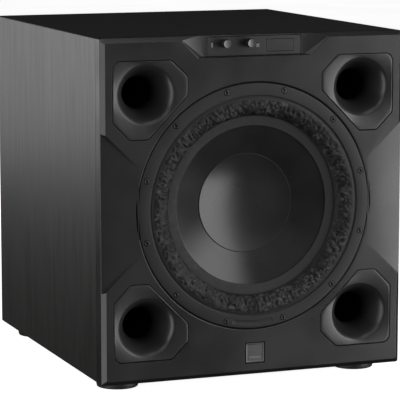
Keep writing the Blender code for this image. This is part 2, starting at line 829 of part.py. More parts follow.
def heat_sink():
    """A comb of upright fins on a thin base, seen as an outline from above."""
    base_near = REAR + PLATE_T + GAP
    base_far = base_near + 0.004
    tip = DEPTH + FIN_REACH
    fins, pitch, fin_t = 11, 0.018, 0.003
    first = -pitch * (fins - 1) / 2
    outline = [(first - fin_t / 2, base_near), (-first + fin_t / 2, base_near)]
    for index in range(fins):
        x = -first - index * pitch
        outline += [(x + fin_t / 2, tip), (x - fin_t / 2, tip)]
        if index < fins - 1:
            outline += [(x - fin_t / 2, base_far), (x - pitch + fin_t / 2, base_far)]
    low, high = 0.185, 0.345
    bm = bmesh.new()
    under = [bm.verts.new((x, depth, low)) for x, depth in outline]
    over = [bm.verts.new((x, depth, high)) for x, depth in outline]
    bm.faces.new(under)
    bm.faces.new(list(reversed(over)))
    join_rings(bm, [under, over])
    make("heat_sink", bm, satin_black(), (0.0, base_near, low))


def mains_inlet():
    """A flanged three-pin inlet; the pins stand in its cavity."""
    flange_near = REAR + PLATE_T + GAP
    inlet = box("mains_inlet", (INLET_X - 0.0165, INLET_X + 0.0165), (flange_near, flange_near + 0.002),
                (SOCKET_ROW - 0.0125, SOCKET_ROW + 0.0125), satin_black())
    body = bmesh.new()
    add_box(body, (INLET_X - 0.0140, INLET_X + 0.0140), (DEPTH - 0.016, flange_near + 0.001),
            (SOCKET_ROW - 0.0100, SOCKET_ROW + 0.0100))
    combine(inlet, cutter("add_inlet_body", body), "UNION")
    cavity = bmesh.new()
    add_box(cavity, (INLET_X - 0.0120, INLET_X + 0.0120), (DEPTH - 0.012, flange_near + 0.004),
            (SOCKET_ROW - 0.0080, SOCKET_ROW + 0.0080))
    combine(inlet, cutter("cut_inlet_cavity", cavity))
    pins = bmesh.new()
    for x, z in ((-0.007, -0.002), (0.0, 0.002), (0.007, -0.002)):
        add_box(pins, (INLET_X + x - 0.001, INLET_X + x + 0.001), (DEPTH - 0.013, REAR),
                (SOCKET_ROW + z - 0.002, SOCKET_ROW + z + 0.002))
    combine(inlet, cutter("add_inlet_pins", pins), "UNION")


def mains_switch():
    """A rocker in its own frame; the rocker turns about a level line."""
    flange_near = REAR + PLATE_T + GAP
    frame = box("switch_frame", (SWITCH_X - 0.0085, SWITCH_X + 0.0085), (flange_near, flange_near + 0.0016),
                (SOCKET_ROW - 0.0115, SOCKET_ROW + 0.0115), satin_black())
    body = bmesh.new()
    add_box(body, (SWITCH_X - 0.0064, SWITCH_X + 0.0064), (DEPTH - 0.014, flange_near + 0.001),
            (SOCKET_ROW - 0.0094, SOCKET_ROW + 0.0094))
    combine(frame, cutter("add_switch_body", body), "UNION")
    well = bmesh.new()
    add_box(well, (SWITCH_X - 0.0050, SWITCH_X + 0.0050), (DEPTH - 0.006, flange_near + 0.004),
            (SOCKET_ROW - 0.0084, SOCKET_ROW + 0.0084))
    combine(frame, cutter("cut_switch_well", well))
    axis = REAR + 0.001
    face = 0.0046
    outline = [
        (-0.0074, face), (0.0, face - 0.0008), (0.0074, face),
        (0.0068, 0.0004), (0.0, -0.0042), (-0.0068, 0.0004),
    ]
    half = 0.0046
    bm = bmesh.new()
    left = []
    right = []
    for z, depth in outline:
        tilted_z = SOCKET_ROW + z * math.cos(ROCKER_TILT) + depth * math.sin(ROCKER_TILT)
        tilted_depth = axis + depth * math.cos(ROCKER_TILT) - z * math.sin(ROCKER_TILT)
        left.append(bm.verts.new((SWITCH_X - half, tilted_depth, tilted_z)))
        right.append(bm.verts.new((SWITCH_X + half, tilted_depth, tilted_z)))
    bm.faces.new(left)
    bm.faces.new(list(reversed(right)))
    join_rings(bm, [left, right])
    make("mains_rocker", bm, satin_black(), (SWITCH_X, axis, SOCKET_ROW))


def input_sockets():
    """Two phono sockets on one small block."""
    near = DEPTH - 0.010
    block = box("input_sockets", (SOCKET_X - 0.0220, SOCKET_X + 0.0220), (near, REAR + PLATE_T - 0.0004),
                (SOCKET_ROW - 0.0100, SOCKET_ROW + 0.0100), satin_black())
    barrels = bmesh.new()
    bores = bmesh.new()
    root, tip = near + 0.002, REAR + PLATE_T + 0.0085
    floor, mouth = near + 0.004, tip + 0.002
    barrel_r, bore_r = 0.0042, 0.0017
    for x in (SOCKET_X - 0.011, SOCKET_X + 0.011):
        add_turned(barrels, [(0.0, root), (barrel_r, root), (barrel_r, tip), (0.0, tip)], 16, x, SOCKET_ROW)
        add_turned(bores, [(0.0, floor), (bore_r, floor), (bore_r, mouth), (0.0, mouth)], 10, x, SOCKET_ROW)
    combine(block, cutter("add_socket_barrels", barrels), "UNION")
    combine(block, cutter("cut_socket_bores", bores))


def amplifier_board():
    """The board on the plate's inside, with its largest components."""
    board = box("amplifier_board", (-0.095, 0.095), (0.4180, 0.4196), (0.150, 0.330), circuit_board())
    parts = bmesh.new()
    add_box(parts, (-0.080, -0.020), (0.3950, 0.4185), (0.285, 0.315))
    add_box(parts, (0.020, 0.080), (0.4000, 0.4185), (0.285, 0.315))
    for x in (-0.070, -0.040, 0.040, 0.070):
        can = [(0.0, 0.3800), (0.0125, 0.3800), (0.0125, 0.4185), (0.0, 0.4185)]
        add_turned(parts, can, 12, x, 0.190)
    combine(board, cutter("add_board_parts", parts), "UNION")


def transformer():
    """A toroidal mains transformer that stands on the cabinet's floor."""
    low, high = WALL_T + GAP, WALL_T + 0.048
    middle = (0.060, 0.345)
    bm = bmesh.new()
    rings = []
    for radius, height in ((0.014, low), (0.046, low), (0.050, low + 0.004), (0.050, high - 0.004),
                           (0.046, high), (0.014, high)):
        ring = []
        for step in range(20):
            angle = math.tau * step / 20
            across, along = radius * math.cos(angle), radius * math.sin(angle)
            ring.append(bm.verts.new((middle[0] + across, middle[1] + along, height)))
        rings.append(ring)
    join_rings(bm, rings, closed=True)
    make("transformer", bm, copper(), (*middle, low), smooth_deg=40)


def speaker_lead():
    """The lead from the amplifier board to the basket, on one smooth curve."""
    route = [
        Vector((-0.0300, 0.4165, 0.2400)), Vector((-0.0340, 0.3900, 0.2360)),
        Vector((-0.0600, 0.3400, 0.1500)), Vector((-0.0900, 0.2900, 0.0750)),
        Vector((-0.0980, 0.2200, 0.0600)), Vector((-0.0980, 0.1500, 0.0750)),
        Vector((-0.1000, 0.1050, 0.1300)), Vector((-0.0960, 0.0850, 0.1750)),
        Vector((-0.0935, 0.0700, 0.2000)),
    ]
    padded = [2 * route[0] - route[1]] + route + [2 * route[-1] - route[-2]]
    places = []
    parts = 3
    for index in range(len(route) - 1):
        before, start, end, after = padded[index:index + 4]
        for part in range(parts):
            t = part / parts
            bend = 2 * before - 5 * start + 4 * end - after
            twist = 3 * start - before - 3 * end + after
            places.append(0.5 * (2 * start + (end - before) * t + bend * t ** 2 + twist * t ** 3))
    places.append(route[-1])
    curve = bpy.data.curves.new("speaker_lead", "CURVE")
    curve.dimensions = "3D"
    spline = curve.splines.new("POLY")
    spline.points.add(len(places) - 1)
    for point, place in zip(spline.points, places):
        point.co = (*world(*place), 1.0)
    curve.bevel_depth = 0.0022
    curve.bevel_resolution = 1
    curve.use_fill_caps = True
    curve.materials.append(soft_rubber())
    bpy.context.scene.collection.objects.link(bpy.data.objects.new("speaker_lead", curve))


# ---------------------------------------------------------------- assembly

def main():
    for old in list(bpy.data.objects):
        bpy.data.objects.remove(old, do_unlink=True)
    cabinet_panels()
    rear_panel()
    cross_brace()
    feet()
    screw_holes = screw_hole_cutter()
    front_baffle(screw_holes)
    badge()
    ports()
    trim_ring(screw_holes)
    basket(screw_holes)
    gasket()
    motor()
    woofer_screws()
    cone()
    dust_cap()
    surround()
    coil()
    spider()
    controls()
    amplifier_plate()
    heat_sink()
    mains_inlet()
    mains_switch()
    input_sockets()
    amplifier_board()
    transformer()
    speaker_lead()


main()
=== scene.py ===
"""Looks of the powered subwoofer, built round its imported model.

Every piece is in metres in the model's own frame: the front faces -Y and the feet stand on z = 0.
Depths are measured back from the front face, and heights up from the cabinet's underside.
"""

import math

import bmesh
import bpy
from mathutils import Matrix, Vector, noise
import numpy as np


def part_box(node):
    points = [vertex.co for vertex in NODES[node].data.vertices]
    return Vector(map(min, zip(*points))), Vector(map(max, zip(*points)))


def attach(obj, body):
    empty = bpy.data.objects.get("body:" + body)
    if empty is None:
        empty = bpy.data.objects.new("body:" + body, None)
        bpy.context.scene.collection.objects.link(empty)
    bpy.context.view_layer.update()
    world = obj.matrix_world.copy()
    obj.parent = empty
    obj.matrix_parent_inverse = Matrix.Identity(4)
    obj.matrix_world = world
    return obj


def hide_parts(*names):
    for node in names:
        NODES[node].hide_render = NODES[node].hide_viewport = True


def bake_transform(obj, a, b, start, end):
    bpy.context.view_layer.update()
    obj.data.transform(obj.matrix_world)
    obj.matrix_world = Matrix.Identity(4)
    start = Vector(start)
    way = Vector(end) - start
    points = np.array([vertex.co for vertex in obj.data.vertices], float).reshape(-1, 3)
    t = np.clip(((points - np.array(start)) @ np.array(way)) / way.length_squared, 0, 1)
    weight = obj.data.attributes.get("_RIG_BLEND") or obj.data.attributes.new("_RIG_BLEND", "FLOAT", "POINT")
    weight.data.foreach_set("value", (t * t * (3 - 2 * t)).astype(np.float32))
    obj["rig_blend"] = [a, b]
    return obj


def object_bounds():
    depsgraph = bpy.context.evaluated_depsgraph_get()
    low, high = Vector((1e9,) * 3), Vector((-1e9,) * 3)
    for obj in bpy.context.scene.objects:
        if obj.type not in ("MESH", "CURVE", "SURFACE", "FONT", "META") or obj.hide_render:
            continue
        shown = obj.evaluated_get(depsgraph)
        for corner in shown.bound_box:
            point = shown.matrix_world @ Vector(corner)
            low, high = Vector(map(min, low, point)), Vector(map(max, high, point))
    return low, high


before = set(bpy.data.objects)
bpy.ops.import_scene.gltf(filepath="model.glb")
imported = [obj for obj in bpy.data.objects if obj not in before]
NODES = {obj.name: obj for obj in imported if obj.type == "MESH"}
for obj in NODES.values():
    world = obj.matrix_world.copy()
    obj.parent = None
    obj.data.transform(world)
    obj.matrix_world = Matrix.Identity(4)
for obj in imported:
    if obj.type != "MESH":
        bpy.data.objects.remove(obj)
cad_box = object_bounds()


def middle_of(node):
    low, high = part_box(node)
    return (low + high) / 2


def round_box(node):
    """A turned node's lowest and highest corners, its middle and its radius."""
    low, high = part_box(node)
    return low, high, (low + high) / 2, (high.x - low.x) / 2


BOARD_LOW, BOARD_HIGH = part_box("front_baffle")
FRONT, BASE = BOARD_LOW.y, BOARD_LOW.z
CABINET_HALF, CABINET_TALL = BOARD_HIGH.x, BOARD_HIGH.z - BASE
BOARD_T = BOARD_HIGH.y - FRONT
CHAMFER = 0.0056
CLEAR = 0.002
POCKET_FLOOR = 0.0143
WOOFER_Z = middle_of("trim_ring").z
RING_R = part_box("trim_ring")[1].x
CAP_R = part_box("dust_cap")[1].x
SCREWS = [f"woofer_screw_{number:02d}" for number in range(1, 13)]
CORNERS = ("top_left", "top_right", "bottom_left", "bottom_right")
# The collar round the top right port's axis: x, height and corner radius.
PORT_CORNERS = (
    (0.0440, -0.0333, 0.006), (0.0440, 0.0423, 0.011), (-0.0327, 0.0423, 0.006),
    (-0.0549, 0.0210, 0.006), (-0.0549, -0.0023, 0.006), (-0.0025, -0.0557, 0.006),
    (0.0218, -0.0557, 0.006),
)
ARC_STEPS = 6
EASE_POINTS = 4
# The signs of a rectangle's corners, anticlockwise from the first quadrant.
QUARTERS = ((1, 1), (-1, 1), (-1, -1), (1, -1))
CONE_EDGE_R = 0.1010
CONE_EDGE_DEPTH = 0.0138
CONE_SLOPE = math.tan(math.radians(28.5))
CONE_RIM_SLOPE = 0.158
FORMER_GAP = 0.0003


# ---- materials

class Paint:
    """A node material that is built up step by step round one Principled shader."""

    def __init__(self, name, metallic=0.0, coat=0.0, coat_roughness=0.1, ior=1.5, sheen=0.0):
        self.material = bpy.data.materials.new(name)
        self.material.use_nodes = True
        self.tree = self.material.node_tree
        self.shader = self.tree.nodes["Principled BSDF"]
        settings = {
            "Metallic": metallic, "Coat Weight": coat, "Coat Roughness": coat_roughness,
            "IOR": ior, "Sheen Weight": sheen,
        }
        for socket, value in settings.items():
            self.shader.inputs[socket].default_value = value
        self.normal = None

    def add(self, kind, **settings):
        node = self.tree.nodes.new(kind)
        for key, value in settings.items():
            setattr(node, key, value)
        return node

    def link(self, output, target):
        self.tree.links.new(output, target)

    def place(self, stretch=(1.0, 1.0, 1.0), offset=(0.0, 0.0, 0.0)):
        """Object coordinates, squeezed along an axis to draw a pattern out along it."""
        mapping = self.add("ShaderNodeMapping")
        mapping.inputs["Scale"].default_value = stretch
        mapping.inputs["Location"].default_value = offset
        self.link(self.add("ShaderNodeTexCoord").outputs["Object"], mapping.inputs["Vector"])
        return mapping.outputs["Vector"]

    def noise(self, scale, detail=4.0, stretch=(1.0, 1.0, 1.0), distortion=0.0):
        node = self.add("ShaderNodeTexNoise")
        node.inputs["Scale"].default_value = scale
        node.inputs["Detail"].default_value = detail
        node.inputs["Distortion"].default_value = distortion
        self.link(self.place(stretch), node.inputs["Vector"])
        return node.outputs["Fac"]

    def rings(self, per_metre):
        """Fine circles about the woofer's axis."""
        node = self.add("ShaderNodeTexWave", wave_type="RINGS", rings_direction="Y")
        node.inputs["Scale"].default_value = per_metre
        self.link(self.place(offset=(0.0, 0.0, -WOOFER_Z)), node.inputs["Vector"])
        return node.outputs["Fac"]

    def radius(self):
        """Distance from the woofer's axis."""
        flat = self.add("ShaderNodeVectorMath", operation="MULTIPLY")
        self.link(self.place(offset=(0.0, 0.0, -WOOFER_Z)), flat.inputs[0])
        flat.inputs[1].default_value = (1.0, 0.0, 1.0)
        length = self.add("ShaderNodeVectorMath", operation="LENGTH")
        self.link(flat.outputs["Vector"], length.inputs[0])
        return length.outputs["Value"]

    def speckle(self, scale):
        node = self.add("ShaderNodeTexVoronoi")
        node.inputs["Scale"].default_value = scale
        self.link(self.place(), node.inputs["Vector"])
        return node.outputs["Distance"]

    def remap(self, value, low, high, start=0.3, end=0.7):
        node = self.add("ShaderNodeMapRange", interpolation_type="SMOOTHSTEP")
        limits = {"From Min": start, "From Max": end, "To Min": low, "To Max": high}
        for socket, number in limits.items():
            node.inputs[socket].default_value = number
        self.link(value, node.inputs["Value"])
        return node.outputs["Result"]

    def colour(self, value, stops):
        """The base colour, eased between (position, colour) stops along a value."""
        ramp = self.add("ShaderNodeValToRGB")
        ramp.color_ramp.interpolation = "EASE"
        elements = ramp.color_ramp.elements
        while len(elements) < len(stops):
            elements.new(0.5)
        for element, (position, shade) in zip(elements, stops):
            element.position = position
            element.color = (*shade, 1.0)
        self.link(value, ramp.inputs["Fac"])
        self.link(ramp.outputs["Color"], self.shader.inputs["Base Color"])
        return ramp.outputs["Color"]

    def mix(self, base, value, shade, amount):
        """Lay a second colour over a base where a value is high."""
        node = self.add("ShaderNodeMix", data_type="RGBA")
        self.link(self.remap(value, 0.0, amount), node.inputs["Factor"])
        self.link(base, node.inputs["A"])
        node.inputs["B"].default_value = (*shade, 1.0)
        self.link(node.outputs["Result"], self.shader.inputs["Base Color"])
        return node.outputs["Result"]

    def roughness(self, value, low, high):
        self.link(self.remap(value, low, high), self.shader.inputs["Roughness"])

    def bump(self, value, distance, strength=1.0):
        node = self.add("ShaderNodeBump")
        node.inputs["Strength"].default_value = strength
        node.inputs["Distance"].default_value = distance
        self.link(value, node.inputs["Height"])
        if self.normal:
            self.link(self.normal, node.inputs["Normal"])
        self.normal = node.outputs["Normal"]
        self.link(self.normal, self.shader.inputs["Normal"])


def grey(level, warmth=0.0):
    return (level * (1 + warmth), level, level * (1 - warmth))


def wood(name, stretch):
    """Black stained veneer: long pores and soft bands along the grain under satin lacquer."""
    paint = Paint(name, coat=0.15, coat_roughness=0.35)
    bands = paint.noise(260.0, 4.0, stretch, 0.2)
    pores = paint.noise(1000.0, 5.0, stretch, 0.2)
    stops = [(0.30, grey(0.014, 0.05)), (0.52, grey(0.018, 0.06)), (0.72, grey(0.022, 0.07))]
    base = paint.colour(bands, stops)
    paint.mix(base, pores, grey(0.008), 0.6)
    paint.roughness(paint.noise(180.0, 4.0, stretch), 0.32, 0.38)
    paint.bump(pores, 0.00008, 0.4)
    paint.bump(bands, 0.00005, 0.2)
    return paint.material


def moulded(name, level, rough, grain, depth, **settings):
    """Moulded or sprayed surface: a fine pebble, cloudy gloss and faint handling marks."""
    paint = Paint(name, **settings)
    cloud = paint.noise(14.0, 5.0)
    fine = paint.noise(grain, 3.0)
    base = paint.colour(cloud, [(0.30, grey(level * 0.82)), (0.70, grey(level * 1.18))])
    scuffs = paint.noise(90.0, 6.0, (1.0, 1.0, 0.12), 1.5)
    paint.mix(base, scuffs, grey(level * 1.6), 0.18)
    paint.roughness(cloud, rough - 0.04, rough + 0.05)
    paint.bump(fine, depth, 0.6)
    return paint.material


def spun(name, level, rough, per_metre, ior):
    """A surface formed by turning: hair-fine circles, with gloss that varies in broad bands."""
    paint = Paint(name, ior=ior)
    circles = paint.rings(per_metre)
    cloud = paint.noise(20.0, 4.0)
    base = paint.colour(cloud, [(0.30, grey(level * 0.8)), (0.70, grey(level * 1.2))])
    paint.mix(base, circles, grey(level * 1.5), 0.35)
    paint.roughness(paint.noise(9.0, 3.0), rough - 0.04, rough + 0.05)
    paint.bump(paint.noise(700.0, 3.0), 0.000012, 0.5)
    return paint.material


def crinkled(name):
    """Soft rubber, smooth at its rims and crumpled between them, with painted shade darkening the folds and
    painted highlights on the crests between them.
    """
    paint = Paint(name, ior=1.33)
    crumple_with_painted_shade = paint.noise(210.0, 5.0, distortion=0.7)
    clumps = paint.noise(55.0, 3.0)
    # Painted shade and painted highlight: the colour is darkest where the crumple bump dips into folds and
    # lightest on its crests.
    base = paint.colour(crumple_with_painted_shade, [(0.40, grey(0.001)), (0.50, grey(0.014)), (0.60, grey(0.050))])
    base = paint.mix(base, clumps, grey(0.003), 0.9)
    radius = paint.radius()
    base = paint.mix(base, paint.remap(radius, 0.0, 1.0, 0.1320, 0.1375), grey(0.018), 1.0)
    paint.mix(base, paint.remap(radius, 1.0, 0.0, 0.1115, 0.1160), grey(0.022), 1.0)
    paint.roughness(crumple_with_painted_shade, 0.50, 0.68)
    paint.bump(paint.noise(900.0, 4.0), 0.00010, 0.6)
    paint.bump(crumple_with_painted_shade, 0.0005, 0.5)
    return paint.material


def metal(name, level, rough, stretch=(1.0, 1.0, 1.0), warmth=0.0):
    """Drawn or ground metal with fine lines one way and a few duller patches."""
    paint = Paint(name, metallic=1.0)
    lines = paint.noise(900.0, 4.0, stretch)
    cloud = paint.noise(40.0, 5.0)
    stops = [(0.25, grey(level * 0.8, warmth)), (0.75, grey(level * 1.15, warmth))]
    base = paint.colour(lines, stops)
    paint.mix(base, cloud, grey(level * 0.6, warmth), 0.3)
    paint.roughness(cloud, rough - 0.06, rough + 0.10)
    paint.bump(lines, 0.00003, 0.5)
    return paint.material


def cloth(name, dark, light):
    """Impregnated woven cloth: two crossed threads."""
    paint = Paint(name, sheen=0.15)
    warp = paint.add("ShaderNodeTexWave", bands_direction="X")
    weft = paint.add("ShaderNodeTexWave", bands_direction="Z")
    for thread in (warp, weft):
        thread.inputs["Scale"].default_value = 420.0
        thread.inputs["Distortion"].default_value = 0.6
        paint.link(paint.place(), thread.inputs["Vector"])
    weave = paint.add("ShaderNodeMath", operation="MULTIPLY")
    paint.link(warp.outputs["Fac"], weave.inputs[0])
    paint.link(weft.outputs["Fac"], weave.inputs[1])
    paint.colour(weave.outputs[0], [(0.0, dark), (0.8, light)])
    paint.roughness(paint.noise(120.0), 0.7, 0.9)
    paint.bump(weave.outputs[0], 0.0002, 0.6)
    return paint.material


def board(name, dark, light, scale, rough):
    """Pressed fibre, moulded resin or ferrite: specks in a matt body."""
    paint = Paint(name)
    specks = paint.speckle(scale)
    base = paint.colour(specks, [(0.05, dark), (0.6, light)])
    paint.mix(base, paint.noise(30.0, 5.0), tuple(0.75 * shade for shade in dark), 0.4)
    paint.roughness(paint.noise(200.0), rough - 0.06, rough + 0.08)
    paint.bump(specks, 0.0001, 0.4)
    return paint.material


WOOD_UPRIGHT = wood("cabinet_wood_upright", (1.0, 1.0, 0.05))
WOOD_LEVEL = wood("cabinet_wood_level", (1.0, 0.05, 1.0))
BOARD = board("bare_fibreboard", (0.20, 0.13, 0.08), (0.36, 0.26, 0.17), 900.0, 0.85)
BAFFLE = moulded("baffle_satin_lacquer", 0.012, 0.30, 420.0, 0.000008)
PORT = moulded("port_moulding", 0.016, 0.34, 900.0, 0.00001)
TUBE = moulded("port_tube_plastic", 0.010, 0.60, 900.0, 0.00006)
RING = moulded("ring_rubber", 0.011, 0.46, 900.0, 0.00004, ior=1.40)
SURROUND = crinkled("surround_rubber")
GASKET = moulded("gasket_foam", 0.02, 0.85, 1200.0, 0.0001)
FOOT = moulded("foot_rubber", 0.014, 0.50, 1600.0, 0.00006)
CONE = spun("cone_coated_pulp", 0.016, 0.24, 900.0, 1.38)
CAP = spun("dust_cap_coated_pulp", 0.016, 0.28, 700.0, 1.43)
SCREW = metal("black_oxide_screw", 0.05, 0.38)
FRAME = moulded("cast_frame_enamel", 0.03, 0.45, 700.0, 0.0001)
STEEL = metal("plated_steel", 0.45, 0.32)
FERRITE = board("ferrite", (0.012, 0.012, 0.013), (0.03, 0.03, 0.032), 1400.0, 0.6)
AMBER = cloth("resin_cloth", (0.22, 0.10, 0.02), (0.50, 0.27, 0.08))
COPPER = metal("enamelled_copper", 0.42, 0.3, (1.0, 25.0, 1.0), 0.5)
PANEL = moulded("panel_plastic", 0.015, 0.36, 1200.0, 0.00001)
WINDOW = moulded("display_window_gloss", 0.018, 0.34, 1200.0, 0.000004)
KNOB = moulded("knob_plastic", 0.012, 0.38, 2400.0, 0.00003)
KNOB_CAP = metal("knob_cap_satin_metal", 0.15, 0.42)
BADGE = metal("badge_satin_metal", 0.12, 0.42, (0.04, 1.0, 1.0))
BADGE_BAR = metal("badge_bar_metal", 0.19, 0.40, (0.04, 1.0, 1.0))
MARK = moulded("printed_mark", 0.38, 0.55, 2000.0, 0.00001)
PLATE = moulded("amplifier_plate_powder_coat", 0.020, 0.52, 900.0, 0.00012)
HEAT_SINK = metal("black_anodised_fins", 0.035, 0.44, (1.0, 1.0, 0.05))
SOCKET = moulded("socket_plastic", 0.014, 0.34, 1500.0, 0.00003)
CIRCUIT = board("circuit_board_green", (0.01, 0.07, 0.03), (0.03, 0.14, 0.06), 500.0, 0.4)
WINDING = metal("transformer_winding", 0.38, 0.35, (20.0, 1.0, 1.0), 0.45)
LEAD = moulded("lead_rubber", 0.02, 0.55, 900.0, 0.00008)
RED_PLASTIC = board("socket_red", (0.20, 0.008, 0.008), (0.32, 0.02, 0.015), 1100.0, 0.35)
WHITE_PLASTIC = board("socket_white", (0.50, 0.49, 0.46), (0.66, 0.65, 0.61), 1100.0, 0.38)
GOLD = metal("gilt_contact", 0.55, 0.25, warmth=0.45)

CARRIED_NODES = (
    (WOOD_UPRIGHT, "left_panel", "right_panel", "rear_panel"),
    (WOOD_LEVEL, "top_panel", "bottom_panel"), (BOARD, "cross_brace"), (FRAME, "basket"),
    (GASKET, "gasket"), (FERRITE, "magnet"), (AMBER, "coil_former"), (COPPER, "voice_coil"),
    (STEEL, "top_plate", "back_plate_and_pole", "volume_stem", "menu_stem"),
    (CIRCUIT, "control_board", "amplifier_board"), (WINDING, "transformer"),
    (LEAD, "speaker_lead"), (SOCKET, "input_sockets"),
    (TUBE, *("port_tube_" + corner for corner in CORNERS)),
)


def paint_carried_nodes():
    """Give the nodes that keep their own shape a detailed material."""
    for paint, *names in CARRIED_NODES:
        for name in names:
            for slot in NODES[name].material_slots:
                slot.material = paint


# ---- mesh tools

def at(x, depth, height):
    """A cabinet place as a point in the model's frame."""
    return Vector((x, FRONT + depth, BASE + height))


def finish_mesh(mesh, paint, smooth_deg=35):
    """One material, and smooth shading with creases at edges sharper than an angle."""
    mesh.materials.clear()
    mesh.materials.append(paint)
    mesh.shade_smooth()
    mesh.set_sharp_from_angle(angle=math.radians(smooth_deg))


def new_object(name, data):
    """An object in the scene that holds a mesh, a light or a camera."""
    made = bpy.data.objects.new(name, data)
    bpy.context.scene.collection.objects.link(made)
    return made


def add_piece(name, mesh, body, slot, *stands_for):
    """Put a mesh in the scene as a piece of one body, in place of the named nodes."""
    piece = new_object(name, mesh)
    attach(piece, body)
    if stands_for:
        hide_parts(*stands_for)


def outward(mesh, fill=False):
    """Close the open ends if asked, and turn every face outward."""
    bm = bmesh.new()
    bm.from_mesh(mesh)
    if fill:
        bmesh.ops.holes_fill(bm, edges=[edge for edge in bm.edges if edge.is_boundary])
    bmesh.ops.recalc_face_normals(bm, faces=bm.faces)
    bm.to_mesh(mesh)
    bm.free()
    return mesh


def skin(name, rings, paint, closed=True, smooth_deg=35):
    """A mesh through rings of points; a ring of one point closes that end."""
    points, starts, faces = [], [], []
    for ring in rings:
        starts.append(len(points))
        points.extend(ring)
    for near in range(len(rings) if closed else len(rings) - 1):
        far = (near + 1) % len(rings)
        count = max(len(rings[near]), len(rings[far]))
        for step in range(count):
            after = (step + 1) % count
            corners = ((near, step), (near, after), (far, after), (far, step))
            faces.append(list(dict.fromkeys(
                starts[ring] + (index if len(rings[ring]) > 1 else 0) for ring, index in corners)))
    mesh = bpy.data.meshes.new(name)
    mesh.from_pydata(points, [], faces)
    finish_mesh(outward(mesh), paint, smooth_deg)
    return mesh


def lathe(name, profile, segments, paint, x=0.0, z=WOOFER_Z, wobble=None, smooth_deg=35,
          closed=True):
    """Turn a profile of (radius, depth) about a front-to-back line; wobble moves single points."""
    rings = []
    for index, (radius, depth) in enumerate(profile):
        if radius < 1e-7:
            rings.append([Vector((x, FRONT + depth, z))])
            continue
        ring = []
        for step in range(segments):
            angle = math.tau * step / segments
            r, d = radius, depth
            if wobble:
                out, back = wobble(index, angle)
                r, d = r + out, d + back
            ring.append(Vector((x + r * math.cos(angle), FRONT + d, z + r * math.sin(angle))))
        rings.append(ring)
    return skin(name, rings, paint, closed, smooth_deg)


def eased(profile, radius):
    """Round every corner of a closed (radius, depth) profile by a small arc."""
    soft = []
    count = len(profile)
    for index, point in enumerate(profile):
        here = Vector(point)
        before = Vector(profile[index - 1]) - here
        after = Vector(profile[(index + 1) % count]) - here
        reach = min(radius, before.length * 0.45, after.length * 0.45)
        start = here + before.normalized() * reach
        end = here + after.normalized() * reach
        for step in range(EASE_POINTS):
            share = step / (EASE_POINTS - 1)
            spot = start * (1 - share) ** 2 + here * 2 * share * (1 - share) + end * share ** 2
            soft.append((spot.x, spot.y))
    return soft


def smooth_curve(points, per_span):
    """A Catmull-Rom curve through a list of equal-length tuples."""
    ends = [points[0], *points, points[-1]]
    curve = []
    for index in range(1, len(ends) - 2):
        p0, p1, p2, p3 = (Vector(ends[index + offset]) for offset in (-1, 0, 1, 2))
        bend, twist = 2 * p0 - 5 * p1 + 4 * p2 - p3, 3 * p1 - p0 - 3 * p2 + p3
        for step in range(per_span):
            t = step / per_span
            curve.append(tuple(0.5 * (2 * p1 + (p2 - p0) * t + bend * t * t + twist * t ** 3)))
    curve.append(tuple(points[-1]))
    return curve


def applied(mesh, name, tune):
    """The mesh with modifiers applied; tune puts the modifiers on a passing object."""
    helper = new_object(name + "_helper", mesh)
    tune(helper)
    bpy.context.view_layer.update()
    evaluated = helper.evaluated_get(bpy.context.evaluated_depsgraph_get())
    shaped = bpy.data.meshes.new_from_object(evaluated)
    bpy.data.objects.remove(helper)
    shaped.name = name
    return shaped


def bevelled(mesh, name, width, angle_deg, clamp):
    """The mesh with its sharp edges rounded, and with its flat faces shaded flat."""

    def tune(helper):
        step = helper.modifiers.new("ease", "BEVEL")
        step.width = width
        step.segments = 2
        step.limit_method = "ANGLE"
        step.angle_limit = math.radians(angle_deg)
        step.use_clamp_overlap = clamp
        weigh = helper.modifiers.new("flat_faces", "WEIGHTED_NORMAL")
        weigh.weight = 100

    mesh.shade_smooth()
    return applied(mesh, name, tune)


def eased_copy(node, name, paint, width):
    """A node's own shape with every sharp edge slightly rounded."""
    source = NODES[node].data
    bm = bmesh.new()
    verts = [bm.verts.new(vert.co) for vert in source.vertices]
    for face in source.polygons:
        corners = list(dict.fromkeys(verts[index] for index in face.vertices))
        if len(corners) > 2 and not bm.faces.get(corners):
            bm.faces.new(corners)
    bmesh.ops.remove_doubles(bm, verts=bm.verts, dist=2e-6)
    bmesh.ops.dissolve_limit(bm, angle_limit=math.radians(0.6), verts=bm.verts, edges=bm.edges)
    bmesh.ops.recalc_face_normals(bm, faces=bm.faces)
    mesh = bpy.data.meshes.new(name)
    bm.to_mesh(mesh)
    bm.free()
    mesh.materials.append(paint)
    return bevelled(mesh, name, width, 25.0, True)


def cut(mesh, name, cutter_meshes):
    """Boolean-cut a mesh with others."""
    helpers = [new_object(f"{name}_cutter", cutter) for cutter in cutter_meshes]

    def tune(target):
        for helper in helpers:
            step = target.modifiers.new("cut", "BOOLEAN")
            step.object = helper

    paint = mesh.materials[0]
    shaped = applied(mesh, name, tune)
    for helper in helpers:
        bpy.data.objects.remove(helper)
    finish_mesh(shaped, paint)
    return shaped


# ---- front board, ports and badge

def prism(name, outline, near, far):
    """A closed solid that carries an outline of (x, height) from one depth to another."""
    rings = [[at(x, depth, height) for x, height in outline] for depth in (near, far)]
    return outward(skin(name, rings, BAFFLE, closed=False), fill=True)


def room_for(node, gap):
    """The front outline of a node's box, grown all round by a gap."""
    low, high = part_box(node)
    left, right = low.x - gap, high.x + gap
    under, over = low.z - BASE - gap, high.z - BASE + gap
    return [(left, under), (right, under), (right, over), (left, over)]


